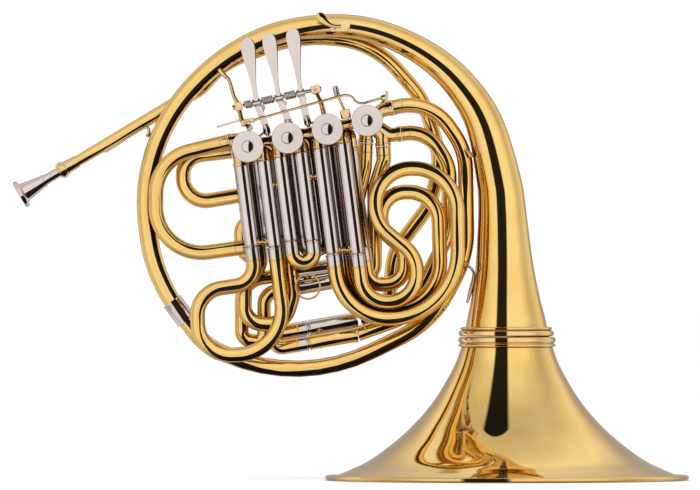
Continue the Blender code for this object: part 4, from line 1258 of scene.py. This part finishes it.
def lever(number, joint):
    """The finger plate on its hub, the bar below it, and the arm over the valves to the link's joint."""
    node = f"lever_{number}"
    hub = joint_place(f"lever_{number}_press")
    offset = node_points(node) - hub
    height = offset @ UP
    tall = height.max()
    tip = hub + UP * tall + ALONG * (offset[height > tall - 1.2].mean(0) @ ALONG)
    widest = offset[(height > 0.78 * tall) & (height < 0.95 * tall)] @ ALONG
    barrel = [(1.85, -3.4), (2.9, -3.4), (3.2, -3.05), (3.2, -2.3), (2.85, -2.0)]
    barrel += [(radius, -along) for radius, along in barrel[::-1]]
    foot = hub + DOWN * 20.8 + ALONG * BAR_SLANT[number] + Y * 2.0
    corners = [hub + DOWN * 2.0 - ALONG * 2.6, hub + DOWN * 2.0 + ALONG * 2.9,
               foot + ALONG * 3.0, foot - ALONG * 3.0]
    bar = rounded_outline([at_depth(corner, hub[1] + 1.0) for corner in corners], 2.2)
    ferrule = [(0.0, -1.0), (2.2, -1.0), (2.6, -0.6), (2.6, 0.6), (3.0, 0.9), (3.0, 6.6), (2.6, 7.2),
               (1.6, 7.4), (1.6, 8.6), (0.0, 8.8)]
    start, end = hub + Y * 2.4, joint - Y * 3.4
    line = corner_line([start, hub + Y * 6.0, (start + end) / 2 + UP * 1.2, end], 14.0)
    make(node, "_spoon", join(
        lathe(barrel, hub, ALONG, "silver", 32, True),
        touch(hub, tip, (widest.max() - widest.min()) / 2),
        slab(bar, Y, 1.9, "silver", 0.45),
        lathe(ferrule, foot, DOWN, "silver", 32),
        sweep(line, along_line(line, (0, 0.1, 0.5, 0.9, 1), (1.9, 1.7, 1.5, 1.6, 1.9)), "silver", 20),
        drum(end, Y, 2.3, -1.6, 1.4, "silver", 24),
    ))


def link_rod(number, link):
    """The rod from a lever's arm down to the rotor's arm, with a screwed joint at both ends."""
    line = curve([link[k] for k in (1, 3, 5, 6, 7)])
    size = along_line(line, (0, 0.06, 0.12, 0.5, 0.7, 0.9, 1), (1.5, 1.2, 1.0, 1.0, 1.1, 1.3, 1.5))
    parts = [sweep(line, size, "silver", 20)]
    for place, low, slot_turn in ((link[1], -2.3, 1.1), (link[-1], -2.2, 0.4)):
        eye = [(0.0, low), (2.0, low), (2.5, low + 0.5), (2.5, low + 3.5), (2.1, 1.8), (0.0, 1.8)]
        parts += [lathe(eye, place, Y, "silver", 28), screw(place + Y * 1.7, Y, 1.5, 0.7, slot_turn)]
    make(f"link_rod_{number}", "_bar", join(*parts))


def coil(number):
    """The return spring beside a lever's hub."""
    node = f"lever_spring_{number}"
    hub = joint_place("lever_1_press")
    along, _ = about_axis(node_points(node), hub, ALONG)
    low, high = along.min() + 0.5, along.max() - 0.5
    count = 20 * max(4, round((high - low) / 1.2))
    line = []
    for k in range(count + 1):
        angle = 2 * math.pi * k / 20
        line.append(hub + ALONG * (low + (high - low) * k / count)
                    + (Y * math.cos(angle) + UP * math.sin(angle)) * 3.05)
    make(node, "_coil", sweep(line, 0.5, "silver", 12))


def levers():
    for number in (1, 2, 3):
        link = [centre for centre, _ in rings_from(Z, f"link_rod_{number}")]
        lever(number, link[1])
        link_rod(number, link)
        coil(number)


def axle():
    """The levers' axle, and the block that carries its right end. Gives the place of the left end."""
    hub = joint_place("lever_1_press")
    points = node_points("lever_axle")
    along, away = about_axis(points, hub, ALONG)
    low = along[away < 1.6].min()
    block = along.max() - 5.2
    middle = hub + ALONG * block
    rod = [(0.0, low), (1.3, low), (1.5, low + 0.3), (1.5, block - 3.0), (0.0, block - 3.0)]
    height, _ = about_axis(points, hub, UP)
    (foot, _), (bend, _) = rings("lever_axle", points[np.argmin(height)])[:2]
    line = corner_line([middle + DOWN * 2.0 + Y * 2.0, bend, foot], 10.0)
    make("lever_axle", "_rod", join(
        lathe(rod, hub, ALONG, "steel", 28),
        brick(middle, (8.0, 7.5, 7.0), "pale", (ALONG, Y, UP), 1.1),
        screw(middle - Y * 3.7, -Y, 1.7, 0.6, 0.7),
        lathe([(0.0, 3.9), (1.9, 3.9), (1.9, 4.6), (1.5, 5.0), (0.0, 5.0)], middle, ALONG, "steel", 24),
        sweep(line, np.linspace(1.7, 2.2, len(line)), "pale", 20),
    ))
    return hub + ALONG * low


def push_rod_rest():
    """A brass block between the third and fourth valves, with a pin and a ridged head."""
    seat = (VALVES[3] + VALVES[4]) / 2 + UP * 9.5 + ALONG * 0.5 - Y * 29.0
    top = seat + UP * 15.5 - ALONG * 3.4
    head = [(0.0, -0.6), (1.5, -0.6), (2.3, 0.0)]
    for low in (0.5, 2.6, 4.7, 6.8):
        head += [(2.65, low), (2.65, low + 1.2), (2.35, low + 1.5), (2.35, low + 1.7)]
    head += [(2.3, 9.2), (1.6, 9.6), (0.0, 9.6)]
    pin = [(0.0, 0.0), (1.15, 0.0), (1.15, 14.0), (0.0, 14.0)]
    rest = build("push_rod_rest", join(
        brick(seat, (8.6, 8.0, 7.6), "pale", (ALONG, Y, UP), 1.2),
        lathe(pin, seat + UP * 3.0, top - seat, "pale", 20),
        lathe(head, top, UP, "silver", 28),
    ))
    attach(rest, OWNERS["axle_brace"])
    SLOTS["axle_brace"]


def axle_brace(axle_end):
    """The post at the axle's left end, and the arm from it down to the pivot of the thumb lever."""
    place = axle_end - ALONG * 3.6
    points = node_points("axle_brace")
    far = points[np.argmax(np.linalg.norm(points - place, axis=1))]
    line = curve([place + UP * 3.0, *(centre for centre, _ in rings("axle_brace", far)[::-1])])
    pivot = joint_place("thumb_lever_press")
    drop = corner_line([place + Y * 1.0, place + Y * 11.0 + DOWN * 1.0, place + Y * 17.0 + DOWN * 11.0,
                        pivot + Y * 9.0], 6.0)
    cap = [(0.0, -5.2), (1.6, -5.2), (2.0, -4.8), (2.0, -3.6), (1.4, -2.6), (0.0, -2.6)]
    pin = [(0.0, -9.2), (1.15, -9.2), (1.15, 5.4), (1.7, 5.5), (1.7, 6.1), (0.0, 6.2)]
    make("axle_brace", "_post", join(
        brick(place, (6.0, 8.0, 7.5), "pale", (ALONG, Y, UP), 1.2),
        lathe(cap, place, ALONG, "pale", 24),
        sweep(line, along_line(line, (0, 0.15, 0.75, 0.95, 1), (1.9, 1.6, 1.6, 2.2, 1.6)), "pale", 24),
        sweep(drop, np.linspace(2.0, 1.9, len(drop)), "pale", 20),
        lathe(pin, pivot, -Y, "steel", 24),
    ))


def thumb_lever():
    """The thumb's plate on its pivot, and the arm with the knob that holds the push rod."""
    pivot = joint_place("thumb_lever_press")
    points = node_points("thumb_lever")
    low, high = points.min(0), points.max(0)
    plate = points[points[:, 0] < pivot[0] - 7.0]
    start, end = plate.min(0), plate.max(0)
    middle = (start + end) / 2
    way = heading(16.5)
    up = unit(np.cross(way, Y))
    outline = []
    for x, y in ((-1, -0.62), (-0.72, -1), (0.9, -1), (1, -0.7), (1, 0.7), (0.9, 1), (-0.72, 1), (-1, 0.62)):
        outline.append(middle + way * x * (end[0] - start[0]) * 0.5 + Y * y * (end[1] - start[1]) * 0.5
                       - up * 0.9)
    barrel = [(1.5, -5.0), (2.6, -5.0), (3.0, -4.6), (3.0, 3.6), (2.6, 4.0), (1.5, 4.0)]
    top = points[points[:, 2] > high[2] - 2.0]
    knob = arr(top[:, 0].mean(), (low[1] + high[1]) / 2 - 0.5, high[2] - 4.0)
    arm = np.linspace(pivot, knob, 3) - Y * 3.0
    make("thumb_lever", "_plate", join(
        slab(rounded_outline(outline, 3.0), up, 1.8, "silver", 0.5),
        lathe(barrel, pivot, Y, "silver", 32, True),
        brick(knob, (8.4, 11.0, 5.6), "pale", (way, Y, up), 1.6),
        sweep(arm, [2.3, 2.2, 2.3], "silver", 20),
        screw(knob - Y * 5.3, -Y, 1.7, 0.7, 0.3),
    ))


def push_rod():
    """The long rod from the thumb lever to the arm of the fourth rotor, with a ball joint and its plate."""
    points = node_points("thumb_push_rod")
    pin = [centre for centre, _ in rings("thumb_push_rod", points[np.argmin(points[:, 0])])]
    line = curve(pin)
    front = points[points[:, 1] < -34.0]
    right = front[front[:, 0] > front[:, 0].max() - 5.0][:, 2]
    ball = arr(front[:, 0].max() - 3.4, pin[0][1], (right.min() + right.max()) / 2 - 0.7)
    sphere = [(2.8 * math.sin(math.pi * k / 14), -2.8 * math.cos(math.pi * k / 14)) for k in range(15)]
    back = points[:, 1].max() - 1.6
    side = ball + X * 1.8
    drop = at_depth(VALVES[4] + heading(45) * 3.6, back)
    make("thumb_push_rod", "_bar", join(
        sweep(line, 1.05, "pale", 20),
        drum(pin[1], Y, 2.2, -2.0, 2.0, "pale", 28, (0.7, 0.8)),
        sweep([line[-1], ball], 1.05, "pale", 20),
        lathe(sphere, ball, ALONG, "pale", 28),
        brick(ball + arr(2.6, 0, 0.7), (2.6, 5.0, 9.6), "steel", None, 0.8),
        sweep(corner_line([side, at_depth(side, back), drop], 7.0), 1.35, "pale", 20),
        drum(drop, Y, 2.3, -2.2, 1.6, "pale", 24, (0.4, 0.4)),
    ))


# ---- braces and the finger hook ----

def wires():
    for node, look in (("leadpipe_brace", "pale"), ("bell_brace", "silver"), ("ring_brace", "pale")):
        line, sizes = smooth_line(rings(node), arcs=False, pieces=7)
        make(node, "_wire", sweep(line, np.maximum(sizes, 0.6), look, 20))


def finger_hook():
    line, sizes = smooth_line(rings_from(X, "finger_hook"), arcs=False, pieces=8)
    flat = along_line(line, (0, 0.35, 0.7, 1), (1.0, 0.9, 0.42, 0.36))
    sizes = np.minimum(sizes * 0.96, 4.4) * along_line(line, (0.9, 1.0), (1.0, 0.72))
    make("finger_hook", "_rest", sweep(line, sizes, "pale", 28, squash=flat))


def hook_plate():
    low, high = box("hook_plate")
    points = node_points("hook_plate")
    front = points[points[:, 1] < low[1] + 0.05]
    centre = front.mean(0)
    angle = np.arctan2(front[:, 2] - centre[2], front[:, 0] - centre[0])
    corners = sorted({(round(float(a), 2), round(float(x), 2), round(float(z), 2))
                      for a, (x, _, z) in zip(angle, front)})
    outline = rounded_outline([arr(x, low[1], z) for _, x, z in corners], 2.2)
    parts = [slab(outline, Y, high[1] - low[1], "pale", 0.5)]
    for share in (-0.3, 0.32):
        at = arr(centre[0] + share * (high[0] - low[0]), low[1] + 0.36, centre[2] - 2.6)
        parts.append(screw(at, -Y, 1.25, 0.4, 0.8))
    make("hook_plate", "_slotted", join(*parts))


STRIPE[:] = (-0.115, 0.135, -9.0)
bell_flare()
screw_rings()
bell_branch()
STRIPE[:] = (0.0, 0.24, -0.2)
first_branch()
body_ferrule()
leadpipe()
mouthpiece_end()
STRIPE[:] = PLAIN
valves()
STRIPE[:] = (0.2, 0.21, -8.0)
sleeves()
STRIPE[:] = PLAIN
slides()
pull_ring()
tuning("main_tuning_slide", "main_tuning_sleeves")
tuning("second_tuning_slide", "second_tuning_sleeves", 0.4)
fixed_tubes()
levers()
axle_end = axle()
push_rod_rest()
axle_brace(axle_end)
thumb_lever()
push_rod()
wires()
finger_hook()
hook_plate()


# ---- studio ----

FRAME_SHARE = 1.0325    # width of the picture over the width of the horn
CAMERA_AWAY = 12.0      # metres
FLOOR = 30.0            # half the floor's side, in metres


def surroundings():
    """White all round, but the metal mirrors a soft studio: darker above, below, behind and at the sides."""
    world = bpy.data.worlds.new("studio")
    bpy.context.scene.world = world
    world.use_nodes = True
    world.node_tree.nodes.clear()
    n = Nodes(world.node_tree)
    way = n.out("ShaderNodeTexCoord", output="Generated")
    _, y, z = way.parts()
    sideways = n.math("ARCCOSINE", abs(y)) * (180 / math.pi)
    level = sideways.eased(50.0, 90.0, 1.0, 0.62) * n.noise(way, 1.4, 2.0).eased(0.3, 0.7, 0.9, 1.04)
    level = level * y.eased(0.55, 0.95, 1.0, 0.45) * z.eased(-1.0, -0.5, 0.45, 1.0)
    colour = n.mix(level, (0.0, 0.0, 0.0), (1.06, 1.045, 1.01))
    mirrored = n.out("ShaderNodeBackground", {"Color": colour, "Strength": 1.0})
    white = n.out("ShaderNodeBackground", {"Color": (1.0, 1.0, 1.0), "Strength": 1.04})
    glossy = n.out("ShaderNodeLightPath", output="Is Glossy Ray")
    n.add("ShaderNodeOutputWorld", {0: n.out("ShaderNodeMixShader", {0: glossy, 1: white, 2: mirrored})})


def floor():
    """A plain pale floor just below the bell's rim."""
    mesh = bpy.data.meshes.new("floor")
    corners = [(x * FLOOR, y * FLOOR, 0) for x, y in ((-1, -1), (1, -1), (1, 1), (-1, 1))]
    mesh.from_pydata(corners, [], [(0, 1, 2, 3)])
    material, n, shader = blank("pale_floor")
    mottle = n.noise(n.object_place(), 3.0)
    n.plug(shader["Base Color"], n.mix(mottle, (0.972, 0.972, 0.972), (0.985, 0.985, 0.985)))
    n.plug(shader["Roughness"], 0.9)
    n.plug(shader["Specular IOR Level"], 0.1)
    mesh.materials.append(material)
    ground = bpy.data.objects.new("floor", mesh)
    ground.location.z = -0.0003
    ground.visible_glossy = False
    bpy.context.scene.collection.objects.link(ground)


def key_light():
    """A large soft lamp high on the left, for the shadow under the horn."""
    lamp = bpy.data.lights.new("key", "AREA")
    lamp.shape = "RECTANGLE"
    lamp.size, lamp.size_y = 1.6, 1.2
    lamp.energy = 12.0
    key = bpy.data.objects.new("key", lamp)
    key.location = (-0.9, -1.3, 1.7)
    key.rotation_euler = (Vector((0, 0, 0.15)) - key.location).to_track_quat("-Z", "Y").to_euler()
    key.visible_glossy = False
    bpy.context.scene.collection.objects.link(key)


def camera():
    """A long lens straight in front, which sees the horn as wide as the photograph does."""
    low, high = (Vector(corner) for corner in CAD_BOX)
    lens = bpy.data.cameras.new("camera")
    lens.sensor_width = 36.0
    lens.lens = lens.sensor_width * CAMERA_AWAY / ((high.x - low.x) * FRAME_SHARE)
    lens.clip_end = 100.0
    eye = bpy.data.objects.new("camera", lens)
    eye.location = (low + high) / 2 + Vector((-0.0008, -CAMERA_AWAY, 0.0008))
    eye.rotation_euler = (math.radians(90), 0, 0)
    bpy.context.scene.collection.objects.link(eye)
    bpy.context.scene.camera = eye


bpy.context.scene.view_settings.view_transform = "Standard"
surroundings()
floor()
key_light()
camera()
